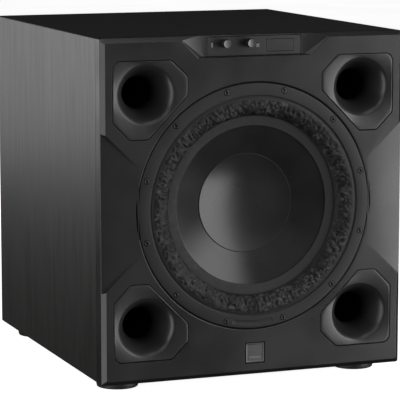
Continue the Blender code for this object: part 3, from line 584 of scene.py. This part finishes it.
def hull(name, points):
    """The convex solid round some points."""
    bm = bmesh.new()
    made = bmesh.ops.convex_hull(bm, input=[bm.verts.new(point) for point in points])
    inside = [item for item in made["geom_interior"] if isinstance(item, bmesh.types.BMVert)]
    bmesh.ops.delete(bm, geom=inside, context="VERTS")
    bmesh.ops.dissolve_limit(bm, angle_limit=math.radians(0.5), verts=bm.verts, edges=bm.edges)
    bmesh.ops.recalc_face_normals(bm, faces=bm.faces)
    mesh = bpy.data.meshes.new(name)
    bm.to_mesh(mesh)
    bm.free()
    mesh.materials.append(BAFFLE)
    return mesh


def rounded_rectangle(half_width, low, high, radius):
    """A rectangle of (x, height) with rounded corners."""
    right, left = half_width - radius, radius - half_width
    top, bottom = high - radius, low + radius
    outline = []
    for quarter, (x, z) in enumerate(((right, top), (left, top), (left, bottom), (right, bottom))):
        for step in range(ARC_STEPS + 1):
            angle = math.pi / 2 * (quarter + step / ARC_STEPS)
            outline.append((x + radius * math.cos(angle), z + radius * math.sin(angle)))
    return outline


def port_place(corner):
    """A port's axis as (x, height), and the way its corner lies."""
    tube = middle_of("port_tube_" + corner)
    return tube.x, tube.z - BASE, math.copysign(1, tube.x), math.copysign(1, tube.z - WOOFER_Z)


def side_facets():
    """Cutters for the facets between the ports, which slope back to the cabinet's edges."""
    start_x, reach = 0.1575, 0.060
    low, high = 0.1565, 0.2735
    slope, flank = 0.111, 0.8
    end_x, deep = start_x + reach, reach * slope
    lean = deep * flank
    edges = (
        (start_x + 0.0001, 0.0, 0.0), (end_x, deep, reach - lean), (end_x, -CLEAR, reach),
        (start_x, -CLEAR, 0.0),
    )
    meshes = []
    for sign in (-1, 1):
        points = []
        for x, depth, spread in edges:
            points += [at(sign * x, depth, low - spread), at(sign * x, depth, high + spread)]
        meshes.append(hull("side_facet", points))
    return meshes


def control_tray():
    """Cutters for the ramped tray behind the knobs, the panel's rebate and the bay behind it."""
    mouth_low, mouth_high, floor_low, floor_high = 0.0775, 0.1095, 0.0680, 0.0745
    mouth_sill, floor_sill, over = 0.4023, 0.4043, CABINET_TALL + 0.004
    points = []
    for sign in (-1, 1):
        points += [at(sign * mouth_low, -0.001, mouth_sill), at(sign * mouth_high, -0.001, over)]
        points += [at(sign * floor_low, CHAMFER, floor_sill), at(sign * floor_high, CHAMFER, over)]
    left, right, under, top = -0.060, 0.057, 0.4065, 0.4257
    bay = [(left, under), (right, under), (right, top), (left, top)]
    return [
        hull("tray", points), prism("rebate", room_for("control_panel", 0.0005), 0.0, 0.0082),
        prism("bay", bay, 0.0070, BOARD_T + 0.001),
    ]


def front_board():
    """The lacquered board with its chamfer, facets, tray, pockets and woofer rebate."""
    outer = rounded_rectangle(CABINET_HALF, 0.0, CABINET_TALL, 0.003)
    inner = rounded_rectangle(CABINET_HALF - CHAMFER, CHAMFER, CABINET_TALL - CHAMFER, 0.003)
    rings = []
    for outline, depth in ((inner, 0.0), (outer, CHAMFER), (outer, BOARD_T)):
        rings.append([at(x, depth, height) for x, height in outline])
    body = outward(skin("front_board", rings, BAFFLE, closed=False), fill=True)

    wall, ease, step_r, step_depth = RING_R + 0.0007, 0.0012, 0.134, 0.0122
    behind = BOARD_T + CLEAR
    opening = [
        (0.0, -CLEAR), (wall + ease + CLEAR, -CLEAR), (wall, ease), (wall, step_depth),
        (step_r, step_depth), (step_r, behind), (0.0, behind),
    ]
    tools = side_facets() + control_tray()
    tools.append(lathe("opening", opening, 200, BAFFLE, closed=False))
    neck_r, neck_depth = 0.0337, 0.005
    neck = [(0.0, neck_depth), (neck_r, neck_depth), (neck_r, behind), (0.0, behind)]
    for corner in CORNERS:
        x, height, sign_x, sign_z = port_place(corner)
        pocket = [(x + sign_x * point.x, height + sign_z * point.y) for point in port_outline(0.02)]
        tools.append(prism("pocket", pocket, -CLEAR, POCKET_FLOOR))
        tools.append(lathe("neck", neck, 64, BAFFLE, x, height + BASE, closed=False))
    tools.append(prism("badge_pocket", room_for("badge", 0.0012), -0.001, 0.0026))
    mesh = bevelled(cut(body, "front_board", tools), "front_board", 0.0004, 20.0, False)
    add_piece("front_board", mesh, "cabinet", "baffle_satin", "front_baffle")


def port_outline(spacing):
    """The collar's rounded outline as evenly filled points about the port's axis."""
    outline = []
    for index, (x, z, radius) in enumerate(PORT_CORNERS):
        here = Vector((x, z))
        before = (Vector(PORT_CORNERS[index - 1][:2]) - here).normalized()
        after = (Vector(PORT_CORNERS[(index + 1) % len(PORT_CORNERS)][:2]) - here).normalized()
        half = before.angle(after) / 2
        centre = here + (before + after).normalized() * (radius / math.sin(half))
        start = (here + before * radius / math.tan(half) - centre).normalized()
        end = (here + after * radius / math.tan(half) - centre).normalized()
        for step in range(ARC_STEPS + 1):
            outline.append(centre + start.slerp(end, step / ARC_STEPS).normalized() * radius)
    filled = []
    for index, point in enumerate(outline):
        after = outline[(index + 1) % len(outline)]
        parts = max(1, round((after - point).length / spacing))
        filled.extend(point.lerp(after, part / parts) for part in range(parts))
    return filled


def port_mouth(corner):
    """A moulded mouth: an angular collar that falls to a round lip, then a horn and its neck."""
    inset, ease, ease_steps = 0.0005, 0.0013, 4
    outline = [point - point.normalized() * inset for point in port_outline(0.0035)]
    centre_x, centre_height, sign_x, sign_z = port_place(corner)
    lip_r, lip_depth, front = 0.0375, 0.0019, 0.0004
    neck_r, rim_r, rim_depth, shoulder = 0.0238, 0.0333, 0.0208, 0.0302
    back = POCKET_FLOOR - 0.0003
    angles = [math.atan2(point.y, point.x) for point in outline]
    rings = []

    def put(points, depth):
        rings.append([at(centre_x + sign_x * point.x, depth, centre_height + sign_z * point.y)
                      for point in points])

    def softened(share):
        """The outline with its corners melted away, more so nearer the lip."""
        spread = 0.04 + 0.34 * share ** 0.8
        reaches = [point.length for point in outline]
        earlier = [angles[-1], *angles[:-1]]
        widths = [(after - before) % math.tau for before, after in zip(earlier, angles)]
        soft = []
        for angle in angles:
            total = weight_sum = 0.0
            for other, reach, width in zip(angles, reaches, widths):
                apart = (other - angle + math.pi) % math.tau - math.pi
                weight = math.exp(-0.5 * (apart / spread) ** 2) * width
                total += reach * weight
                weight_sum += weight
            soft.append(Vector((math.cos(angle), math.sin(angle))) * (total / weight_sum))
        return [hard.lerp(gentle, min(1.0, share * 2.2)) for hard, gentle in zip(outline, soft)]

    def circle(radius):
        return [Vector((math.cos(angle), math.sin(angle))) * radius for angle in angles]

    def collar(share):
        return [edge.lerp(lip, share) for edge, lip in zip(softened(share), circle(lip_r))]

    put(outline, back)
    for step in range(ease_steps + 1):
        turn = math.pi / 2 * step / ease_steps
        put([point - point.normalized() * ease * (1 - math.cos(turn)) for point in outline],
            front + ease * (1 - math.sin(turn)))
    for share in (0.25, 0.35, 0.45, 0.55, 0.65, 0.75, 0.85, 0.93):
        put(collar(share), front + (lip_depth - front) * share ** 1.6)
    horn = [
        (lip_r, lip_depth), (0.0364, 0.0026), (0.0352, 0.0035), (0.0338, 0.0049),
        (0.0324, 0.0068), (0.0306, 0.0098), (0.0280, 0.0152), (0.0252, 0.0215),
        (0.0226, 0.0280), (0.0208, 0.0335), (0.0200, 0.0375), (0.0200, 0.0395),
    ]
    outside = [(neck_r, horn[-1][1]), (neck_r, shoulder), (rim_r, rim_depth), (rim_r, back)]
    for radius, depth in smooth_curve(horn, 4) + outside:
        put(circle(radius), depth)
    name = "port_mouth_" + corner
    mesh = skin(name, rings, PORT, smooth_deg=50)
    add_piece(name, mesh, "cabinet", "port_plastic", "port_flare_" + corner)


def rounded_ring(centre, run, radius, points, parts):
    """Points round a rectangle whose corners turn about run; each quarter is cut into parts."""
    ring = []
    for quarter, (sign_x, sign_z) in enumerate(QUARTERS):
        for step in range(points):
            angle = math.pi / 2 * (quarter + step / parts)
            ring.append(centre + Vector((sign_x * run.x + radius * math.cos(angle), 0.0,
                                         sign_z * run.y + radius * math.sin(angle))))
    return ring


def rounded_bar(name, centre, width, tall, proud, paint, slot):
    """A small flat bar with round ends, standing on a surface of the cabinet."""
    radius, parts = min(width, tall) / 2, 8
    run = Vector((width / 2 - radius, tall / 2 - radius))
    rings = [[centre]]
    for shrink, rise in ((0.0, 0.0), (0.0, 0.6 * proud), (0.3 * proud, proud)):
        middle = centre - Vector((0.0, rise, 0.0))
        rings.append(rounded_ring(middle, run, radius - shrink, parts, parts))
    rings.append([centre - Vector((0.0, proud, 0.0))])
    add_piece(name, skin(name, rings, paint, closed=False), "cabinet", slot)


def badge_plate():
    """A blank metal badge: a raised rim round a sunk, brushed field with a plain bar low on it."""
    low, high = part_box("badge")
    centre = middle_of("badge")
    half = Vector((high.x - low.x, high.z - low.z)) / 2
    corner_r, parts, sunk = 0.0014, 4, 0.0006
    steps = ((0.0, high.y - low.y), (0.0, 0.0005), (0.0002, 0.0001), (0.0005, 0.0), (0.0013, 0.0),
             (0.0016, 0.0001), (0.0019, 0.0005), (0.0021, sunk), (0.0026, sunk))
    rings = []
    for inset, depth in steps:
        radius = corner_r - 0.4 * inset
        run = half - Vector((inset + radius, inset + radius))
        middle = Vector((centre.x, low.y + depth, centre.z))
        rings.append(rounded_ring(middle, run, radius, parts + 1, parts))
    mesh = outward(skin("badge_plate", rings, BADGE, closed=False), fill=True)
    add_piece("badge_plate", mesh, "cabinet", "badge_metal", "badge")
    bar = Vector((centre.x, low.y + sunk, centre.z - half.y * 0.45))
    rounded_bar("badge_bar", bar, half.x * 1.3, half.y * 0.24, 0.0003, BADGE_BAR, "badge_metal")


# ---- woofer

def woofer_ring():
    """The rubber ring with its counterbored holes and a blank label plate."""
    face, back = 0.0003, 0.0069
    profile = eased([
        (RING_R, 0.0016), (RING_R - 0.0012, face), (0.1400, face), (0.1392, 0.0010),
        (0.1400, 0.0046), (0.1406, back), (RING_R, back),
    ], 0.0004)
    mesh = lathe("woofer_ring", profile, 240, RING)
    hole_r, mouth_r, floor = 0.0038, 0.0041, 0.0036
    sink = [
        (0.0, -CLEAR), (mouth_r, -CLEAR), (mouth_r, face), (hole_r, 0.0007), (hole_r, floor),
        (0.0, floor),
    ]
    holes = []
    for screw in SCREWS:
        place = middle_of(screw)
        holes.append(lathe("hole", sink, 24, RING, place.x, place.z, closed=False))
    mesh = cut(mesh, "woofer_ring", holes)
    add_piece("woofer_ring", mesh, "cabinet", "ring_rubber", "trim_ring")
    label_plate()


def label_plate():
    """A blank raised arc on the ring's lower edge, framed by a fine rim."""
    inner, outer = 0.1438, 0.1518
    start, end, steps = math.radians(-102.3), math.radians(-80.2), 24
    rim, field = 0.00012, 0.00020
    sides = ((0.0, 0.00035), (0.0, 0.00018), (0.0003, rim), (0.0007, rim), (0.0009, field))
    rings = []
    for inset, depth in sides:
        spread = inset / outer
        angles = [start + spread + (end - start - 2 * spread) * step / steps
                  for step in range(steps + 1)]
        edge = [(outer - inset, angle) for angle in angles]
        edge += [(inner + inset, angle) for angle in reversed(angles)]
        rings.append([Vector((radius * math.cos(angle), FRONT + depth,
                              WOOFER_Z + radius * math.sin(angle))) for radius, angle in edge])
    mesh = outward(skin("ring_label_plate", rings, RING, closed=False), fill=True)
    finish_mesh(mesh, RING)
    add_piece("ring_label_plate", mesh, "cabinet", "ring_rubber")


def ring_screws():
    """Button heads with a six-sided socket, each turned its own way."""
    shank_r, socket_r, head_t, socket_rows = 0.0020, 0.0019, 0.0027, (8, 9)
    for number, screw in enumerate(SCREWS, 1):
        low, high, place, head_r = round_box(screw)
        top, tip = low.y - FRONT, high.y - FRONT
        profile = [
            (0.0, tip), (shank_r, tip - 0.001), (shank_r, top + head_t), (head_r, top + head_t),
            (head_r, top + 0.0008), (head_r * 0.93, top + 0.0002), (head_r * 0.75, top),
            (socket_r + 0.0002, top), (socket_r, top + 0.0002), (socket_r, top + 0.0018),
            (0.0, top + 0.0022),
        ]

        def hexagon(index, angle):
            if index not in socket_rows:
                return 0.0, 0.0
            turn = (angle + number) % (math.pi / 3) - math.pi / 6
            return socket_r * (0.88 / math.cos(turn) - 1.0), 0.0

        name = f"ring_screw_{number:02d}"
        mesh = lathe(name, profile, 30, SCREW, place.x, place.z, hexagon, 30, closed=False)
        add_piece(name, mesh, "cabinet", "black_steel", screw)


def roll_surround():
    """A half roll with a crumpled crest, held outside and moving with the cone inside."""
    outer_r, inner_r, height, thick = 0.1375, 0.1130, 0.0056, 0.0011
    outer_root, inner_root, steps, land = 0.0018, 0.0105, 26, -1.0
    middle, half = (outer_r + inner_r) / 2, (outer_r - inner_r) / 2
    front = [(0.1398, outer_root), (0.1385, outer_root)]
    back = [(radius, depth + thick) for radius, depth in front]
    share_of = [land, land]
    for step in range(steps + 1):
        share = step / steps
        turn = math.pi * share
        depth = outer_root + (inner_root - outer_root) * share - height * math.sin(turn)
        front.append((middle + half * math.cos(turn), depth))
        back.append((middle + (half - thick) * math.cos(turn), depth + thick))
        share_of.append(share)
    for radius, depth in ((0.1115, 0.0106), (0.1080, 0.0111), (0.1045, 0.0117), (0.1010, 0.0123)):
        front.append((radius, depth))
        back.append((radius, depth + thick))
        share_of.append(land)
    profile = front + back[::-1]
    shares = share_of + share_of[::-1]

    def wrinkle(index, angle):
        """Folds that fade out towards both edges of the roll; the flat lands stay plain."""
        share = shares[index]
        if share <= 0.1:
            return 0.0, 0.0
        window = max(0.0, math.sin(math.pi * min(1.0, share * 1.15 - 0.1)) - 0.2) ** 1.2
        x, z = math.cos(angle), math.sin(angle)
        patch = noise.noise(Vector((x * 11.0, z * 11.0, share * 4.0)))
        fold = abs(noise.noise(Vector((x * 22.0, z * 22.0, share * 7.0 + 9.0)))) - 0.2
        grit = noise.noise(Vector((x * 40.0, z * 40.0, share * 11.0 + 4.0)))
        lift = window * (0.0013 * patch - 0.0026 * fold + 0.0010 * grit)
        return lift * math.cos(math.pi * share), -lift * math.sin(math.pi * share)

    mesh = lathe("roll_surround", profile, 1080, SURROUND, wobble=wrinkle, smooth_deg=60)
    add_suspension("roll_surround", mesh, outer_r, inner_r, "surround")


def add_suspension(name, mesh, fixed_r, moving_r, node):
    """A piece held by the frame at one radius and bonded to the cone at another."""
    piece = new_object(name, mesh)
    fixed, moving = (Vector((radius, FRONT, WOOFER_Z)) for radius in (fixed_r, moving_r))
    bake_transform(piece, "cabinet", "cone_assembly", fixed, moving)
    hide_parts(node)
    weights = []
    for vert in mesh.vertices:
        radius = math.hypot(vert.co.x, vert.co.z - WOOFER_Z)
        share = min(max((fixed_r - radius) / (fixed_r - moving_r), 0.0), 1.0)
        weights.append(share * share * (3 - 2 * share))
    mesh.attributes["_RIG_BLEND"].data.foreach_set("value", weights)


def centring_spider():
    """The corrugated cloth disc that keeps the coil centred."""
    outer_r, inner_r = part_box("spider")[1].x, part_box("coil_former")[1].x + FORMER_GAP
    wave_start, wave_end = 0.0420, 0.0740
    plane, thick = middle_of("spider").y - FRONT, 0.0006
    steps, waves, reach = 32, 2, 0.0014
    line = [(inner_r, 0.0)]
    for step in range(steps + 1):
        share = step / steps
        radius = wave_start + (wave_end - wave_start) * share
        line.append((radius, reach * math.sin(math.tau * waves * share)))
    line.append((outer_r, 0.0))
    profile = [(r, plane - thick / 2 + wave) for r, wave in line]
    profile += [(r, plane + thick / 2 + wave) for r, wave in reversed(line)]
    mesh = lathe("centring_spider", profile, 96, AMBER)
    add_suspension("centring_spider", mesh, wave_end, wave_start, "spider")


def cone_depth(radius):
    """The cone's front face: a shallow land at its rim, then a straight wall to the neck."""
    if radius > CONE_EDGE_R:
        return CONE_EDGE_DEPTH - (radius - CONE_EDGE_R) * CONE_RIM_SLOPE
    return CONE_EDGE_DEPTH + (CONE_EDGE_R - radius) * CONE_SLOPE


def pressed_cone():
    """The cone, with the shallow land at its rim that the surround is bonded to."""
    thick = 0.0013
    neck_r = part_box("coil_former")[1].x + FORMER_GAP
    radii = [0.1115, 0.106, 0.1022, CONE_EDGE_R, 0.0998, 0.094, 0.086, 0.078, 0.070, 0.064, 0.062,
             0.054, 0.046, neck_r]
    front = [(radius, cone_depth(radius)) for radius in radii]
    back = [(radius, depth + thick) for radius, depth in reversed(front)]
    mesh = lathe("pressed_cone", front + back, 240, CONE)
    add_piece("pressed_cone", mesh, "cone_assembly", "cone_black", "cone")


def dished_cap():
    """A dished cap on the cone, with a fine bead of glue round its rim."""
    low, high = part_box("dust_cap")
    rim_depth, wall, steps = low.y - FRONT, 0.0010, 24
    sag = high.y - FRONT - wall - rim_depth
    ball = (CAP_R ** 2 + sag ** 2) / (2 * sag)
    front = []
    for step in range(steps + 1):
        radius = CAP_R * (1 - step / steps)
        dip = math.sqrt(ball ** 2 - radius ** 2) - math.sqrt(ball ** 2 - CAP_R ** 2)
        front.append((radius, rim_depth + dip))
    back = [(radius, depth + wall) for radius, depth in reversed(front)]
    mesh = lathe("dished_cap", front + back, 160, CAP)
    add_piece("dished_cap", mesh, "cone_assembly", "cone_black", "dust_cap")
    bead, bead_steps = [], 10
    for step in range(bead_steps):
        turn = math.tau * step / bead_steps
        bead.append((CAP_R + 0.0004 + 0.0005 * math.cos(turn),
                     rim_depth + 0.0009 - 0.0004 * math.sin(turn)))
    mesh = lathe("cap_glue_bead", bead, 160, SURROUND)
    add_piece("cap_glue_bead", mesh, "cone_assembly", "cone_black")


# ---- controls

def fluted_knob(label):
    """A fluted black barrel with a pale, slightly dished metal cap."""
    node, dial = label + "_knob", label + "_dial"
    low, high, place, radius = round_box(node)
    tip, back = low.y - FRONT, high.y - FRONT
    socket_r, socket_depth, seat, lip = 0.0033, tip + 0.0040, tip + 0.0009, tip + 0.0003
    profile = [
        (0.0, seat), (radius * 0.86, seat), (radius * 0.90, lip), (radius * 0.95, lip),
        (radius, seat), (radius, back - 0.0010), (radius * 0.96, back), (socket_r, back),
        (socket_r, socket_depth), (0.0, socket_depth),
    ]
    teeth, fluted_rows, flute_depth = 30, (4, 5), 0.00018

    def flute(index, angle):
        if index not in fluted_rows:
            return 0.0, 0.0
        return -flute_depth * (0.5 + 0.5 * math.cos(teeth * angle)), 0.0

    name = node + "_barrel"
    mesh = lathe(name, profile, teeth * 8, KNOB, place.x, place.z, flute, 45, closed=False)
    add_piece(name, mesh, dial, "knob_plastic", node)
    under = tip + 0.0012
    profile = [
        (0.0, tip + 0.00045), (radius * 0.55, tip + 0.00035), (radius * 0.80, tip + 0.00010),
        (radius * 0.86, tip), (radius * 0.90, tip + 0.00012), (radius * 0.905, under),
        (0.0, under),
    ]
    name = node + "_cap"
    mesh = lathe(name, profile, 64, KNOB_CAP, place.x, place.z, closed=False)
    add_piece(name, mesh, dial, "knob_plastic")


def control_face():
    """The panel, its display pane, both knobs and three plain marks beside them."""
    mesh = eased_copy("control_panel", "control_face", PANEL, 0.00035)
    add_piece("control_face", mesh, "cabinet", "panel_plastic", "control_panel")
    mesh = eased_copy("display_window", "display_pane", WINDOW, 0.0003)
    add_piece("display_pane", mesh, "cabinet", "window_gloss", "display_window")
    fluted_knob("volume")
    fluted_knob("menu")
    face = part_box("control_panel")[0].y
    for name, knob, aside, drop, width, tall in (
        ("mark_volume", "volume_knob", -0.0158, 0.0020, 0.0010, 0.0060),
        ("mark_menu_upper", "menu_knob", 0.0130, 0.0026, 0.0042, 0.0008),
        ("mark_menu_lower", "menu_knob", 0.0130, 0.0048, 0.0042, 0.0008),
    ):
        centre = middle_of(knob)
        place = Vector((centre.x + aside, face, centre.z - drop))
        rounded_bar(name, place, width, tall, 0.00012, MARK, "panel_plastic")


# ---- feet and rear

def soft_feet():
    """Turned rubber feet with a rounded shoulder and a hollow sole."""
    turns = [math.tau * step / 96 for step in range(96)]
    for foot in ("foot_front_left", "foot_front_right", "foot_rear_left", "foot_rear_right"):
        low, high, centre, radius = round_box(foot)
        top, sole, hollow_r = high.z, low.z, radius * 0.62
        outline = eased([
            (radius * 0.97, sole), (radius, sole + 0.0040), (radius, top - 0.0022),
            (radius - 0.0012, top), (hollow_r, top), (hollow_r, sole + 0.0012),
            (radius * 0.70, sole),
        ], 0.0012)
        inner_top = 4 * EASE_POINTS
        rings = [[Vector((centre.x, centre.y, top))]]
        for r, z in outline[inner_top:] + outline[:inner_top]:
            rings.append([Vector((centre.x + r * math.cos(turn), centre.y + r * math.sin(turn), z))
                          for turn in turns])
        name = foot.replace("foot", "rubber_foot")
        add_piece(name, skin(name, rings, FOOT), "cabinet", "foot_rubber", foot)


def plate_screws():
    """Pan heads round the edge of the amplifier plate."""
    low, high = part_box("amplifier_plate")
    edge = 0.009
    places = []
    for share in (0.0, 0.5, 1.0):
        x = low.x + edge + (high.x - low.x - 2 * edge) * share
        places += [(x, low.z + edge), (x, high.z - edge)]
    for share in (1 / 3, 2 / 3):
        z = low.z + edge + (high.z - low.z - 2 * edge) * share
        places += [(low.x + edge, z), (high.x - edge, z)]
    face = high.y - FRONT
    profile = [
        (0.0, face - 0.0004), (0.0036, face - 0.0004), (0.0037, face + 0.0005),
        (0.0031, face + 0.0015), (0.0018, face + 0.0020), (0.0015, face + 0.0018),
        (0.0, face + 0.0008),
    ]
    for number, (x, z) in enumerate(places, 1):
        name = f"plate_screw_{number:02d}"
        mesh = lathe(name, profile, 28, SCREW, x, z, closed=False)
        add_piece(name, mesh, "cabinet", "black_steel")


def socket_details():
    """Colour rings and gilt barrels on the two phono sockets."""
    low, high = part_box("input_sockets")
    face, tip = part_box("amplifier_plate")[1].y - FRONT, high.y - FRONT
    z, inset = (low.z + high.z) / 2, 0.011
    washer = eased([
        (0.0043, face - 0.0003), (0.0072, face - 0.0003), (0.0068, face + 0.0016),
        (0.0043, face + 0.0016),
    ], 0.0004)
    sleeve = eased([
        (0.0042, face), (0.00445, face), (0.00445, tip - 0.0003), (0.0019, tip),
        (0.0019, tip - 0.0005), (0.0042, tip - 0.0005),
    ], 0.0002)
    for label, x, paint in (("left", low.x + inset, WHITE_PLASTIC),
                            ("right", high.x - inset, RED_PLASTIC)):
        mesh = lathe("insulator", washer, 48, paint, x, z)
        add_piece(f"phono_{label}_insulator", mesh, "cabinet", "socket_plastic")
        mesh = lathe("sleeve", sleeve, 48, GOLD, x, z)
        add_piece(f"phono_{label}_barrel", mesh, "cabinet", "socket_plastic")


def rear_fittings():
    """The amplifier plate and what is fixed to it."""
    plate_screws()
    socket_details()
    for node, name, width, paint, slot, body in (
        ("amplifier_plate", "amplifier_face", 0.0006, PLATE, "plate_paint", "cabinet"),
        ("heat_sink", "heat_sink_fins", 0.0005, HEAT_SINK, "heat_sink_black", "cabinet"),
        ("mains_inlet", "mains_inlet_body", 0.0004, SOCKET, "socket_plastic", "cabinet"),
        ("switch_frame", "switch_surround", 0.0004, SOCKET, "socket_plastic", "cabinet"),
        ("mains_rocker", "switch_paddle", 0.0005, SOCKET, "socket_plastic", "power_rocker"),
    ):
        add_piece(name, eased_copy(node, name, paint, width), body, slot, node)


# ---- stage

def studio_floor():
    """A wide pale sheet that glows evenly under the object."""
    paint = Paint("pale_floor")
    base = paint.colour(paint.noise(3.0, 3.0), [(0.3, grey(0.93)), (0.7, grey(0.96))])
    paint.roughness(paint.noise(200.0), 0.75, 0.9)
    paint.link(base, paint.shader.inputs["Emission Color"])
    paint.shader.inputs["Emission Strength"].default_value = 1.0
    mesh = bpy.data.meshes.new("floor")
    reach = 9.0
    corners = [(sign_x * reach, sign_y * reach, 0) for sign_x, sign_y in QUARTERS]
    mesh.from_pydata(corners, [], [(0, 1, 2, 3)])
    mesh.materials.append(paint.material)
    floor = new_object("floor", mesh)
    floor.visible_glossy = False
    floor.visible_diffuse = False
    floor.visible_shadow = False


def softbox(name, azimuth, elevation, distance, width, tall, radiance):
    """A panel light aimed at the object; azimuth 0 is in front and 90 to the right."""
    light = bpy.data.lights.new(name, "AREA")
    light.shape = "RECTANGLE"
    light.size, light.size_y = width, tall
    light.energy = radiance * math.pi * width * tall
    lamp = new_object(name, light)
    a, e = math.radians(azimuth), math.radians(elevation)
    target = (cad_box[0] + cad_box[1]) / 2
    away = Vector((math.sin(a) * math.cos(e), -math.cos(a) * math.cos(e), math.sin(e)))
    lamp.location = target + away * distance
    lamp.rotation_euler = away.to_track_quat("Z", "Y").to_euler()
    lamp.visible_camera = False


def studio_lights():
    """Long panels at both sides of the front, weak ones above and behind."""
    softbox("key_right", 48, 7, 2.4, 1.45, 3.0, 4.6)
    softbox("front_low", 6, -8, 3.2, 1.2, 1.6, 0.22)
    softbox("fill_left", -68, -6, 2.4, 1.5, 3.0, 2.6)
    softbox("upper_left", -42, 42, 2.6, 1.2, 1.2, 1.3)
    softbox("side_left", -146, 11, 2.6, 1.6, 1.6, 1.5)
    softbox("side_right", 125, 15, 2.6, 1.2, 1.4, 0.6)
    softbox("front_soft", -10, 35, 3.0, 2.5, 2.0, 0.2)
    softbox("front_top", 10, 64, 2.4, 1.2, 1.0, 1.4)
    softbox("overhead", 0, 84, 2.4, 1.2, 1.2, 0.6)


def studio_world():
    """A white backdrop for the camera, and a nearly dark room for the reflections."""
    world = bpy.data.worlds.new("studio")
    world.use_nodes = True
    tree = world.node_tree
    shade = tree.nodes["Background"]
    shade.inputs["Color"].default_value = (0.016, 0.016, 0.016, 1.0)
    backdrop = tree.nodes.new("ShaderNodeBackground")
    backdrop.inputs["Color"].default_value = (1.0, 1.0, 1.0, 1.0)
    seen = tree.nodes.new("ShaderNodeLightPath")
    choose = tree.nodes.new("ShaderNodeMixShader")
    tree.links.new(seen.outputs["Is Camera Ray"], choose.inputs["Fac"])
    tree.links.new(shade.outputs[0], choose.inputs[1])
    tree.links.new(backdrop.outputs[0], choose.inputs[2])
    tree.links.new(choose.outputs[0], tree.nodes["World Output"].inputs["Surface"])
    bpy.context.scene.world = world
    bpy.context.scene.view_settings.view_transform = "Standard"


def camera():
    """A long lens from the front left, a little above the cabinet."""
    pitch_down, turned_right = 8.43, 20.99
    lens = bpy.data.cameras.new("camera")
    lens.sensor_width = 36.0
    lens.lens = 209.6
    eye = new_object("camera", lens)
    eye.location = (-1.0961, -2.8924, 0.6629)
    eye.rotation_euler = (math.radians(90 - pitch_down), 0.0, math.radians(-turned_right))
    bpy.context.scene.camera = eye


def main():
    paint_carried_nodes()
    front_board()
    for corner in CORNERS:
        port_mouth(corner)
    badge_plate()
    woofer_ring()
    ring_screws()
    roll_surround()
    pressed_cone()
    dished_cap()
    centring_spider()
    control_face()
    soft_feet()
    rear_fittings()
    studio_floor()
    studio_lights()
    studio_world()
    camera()


main()
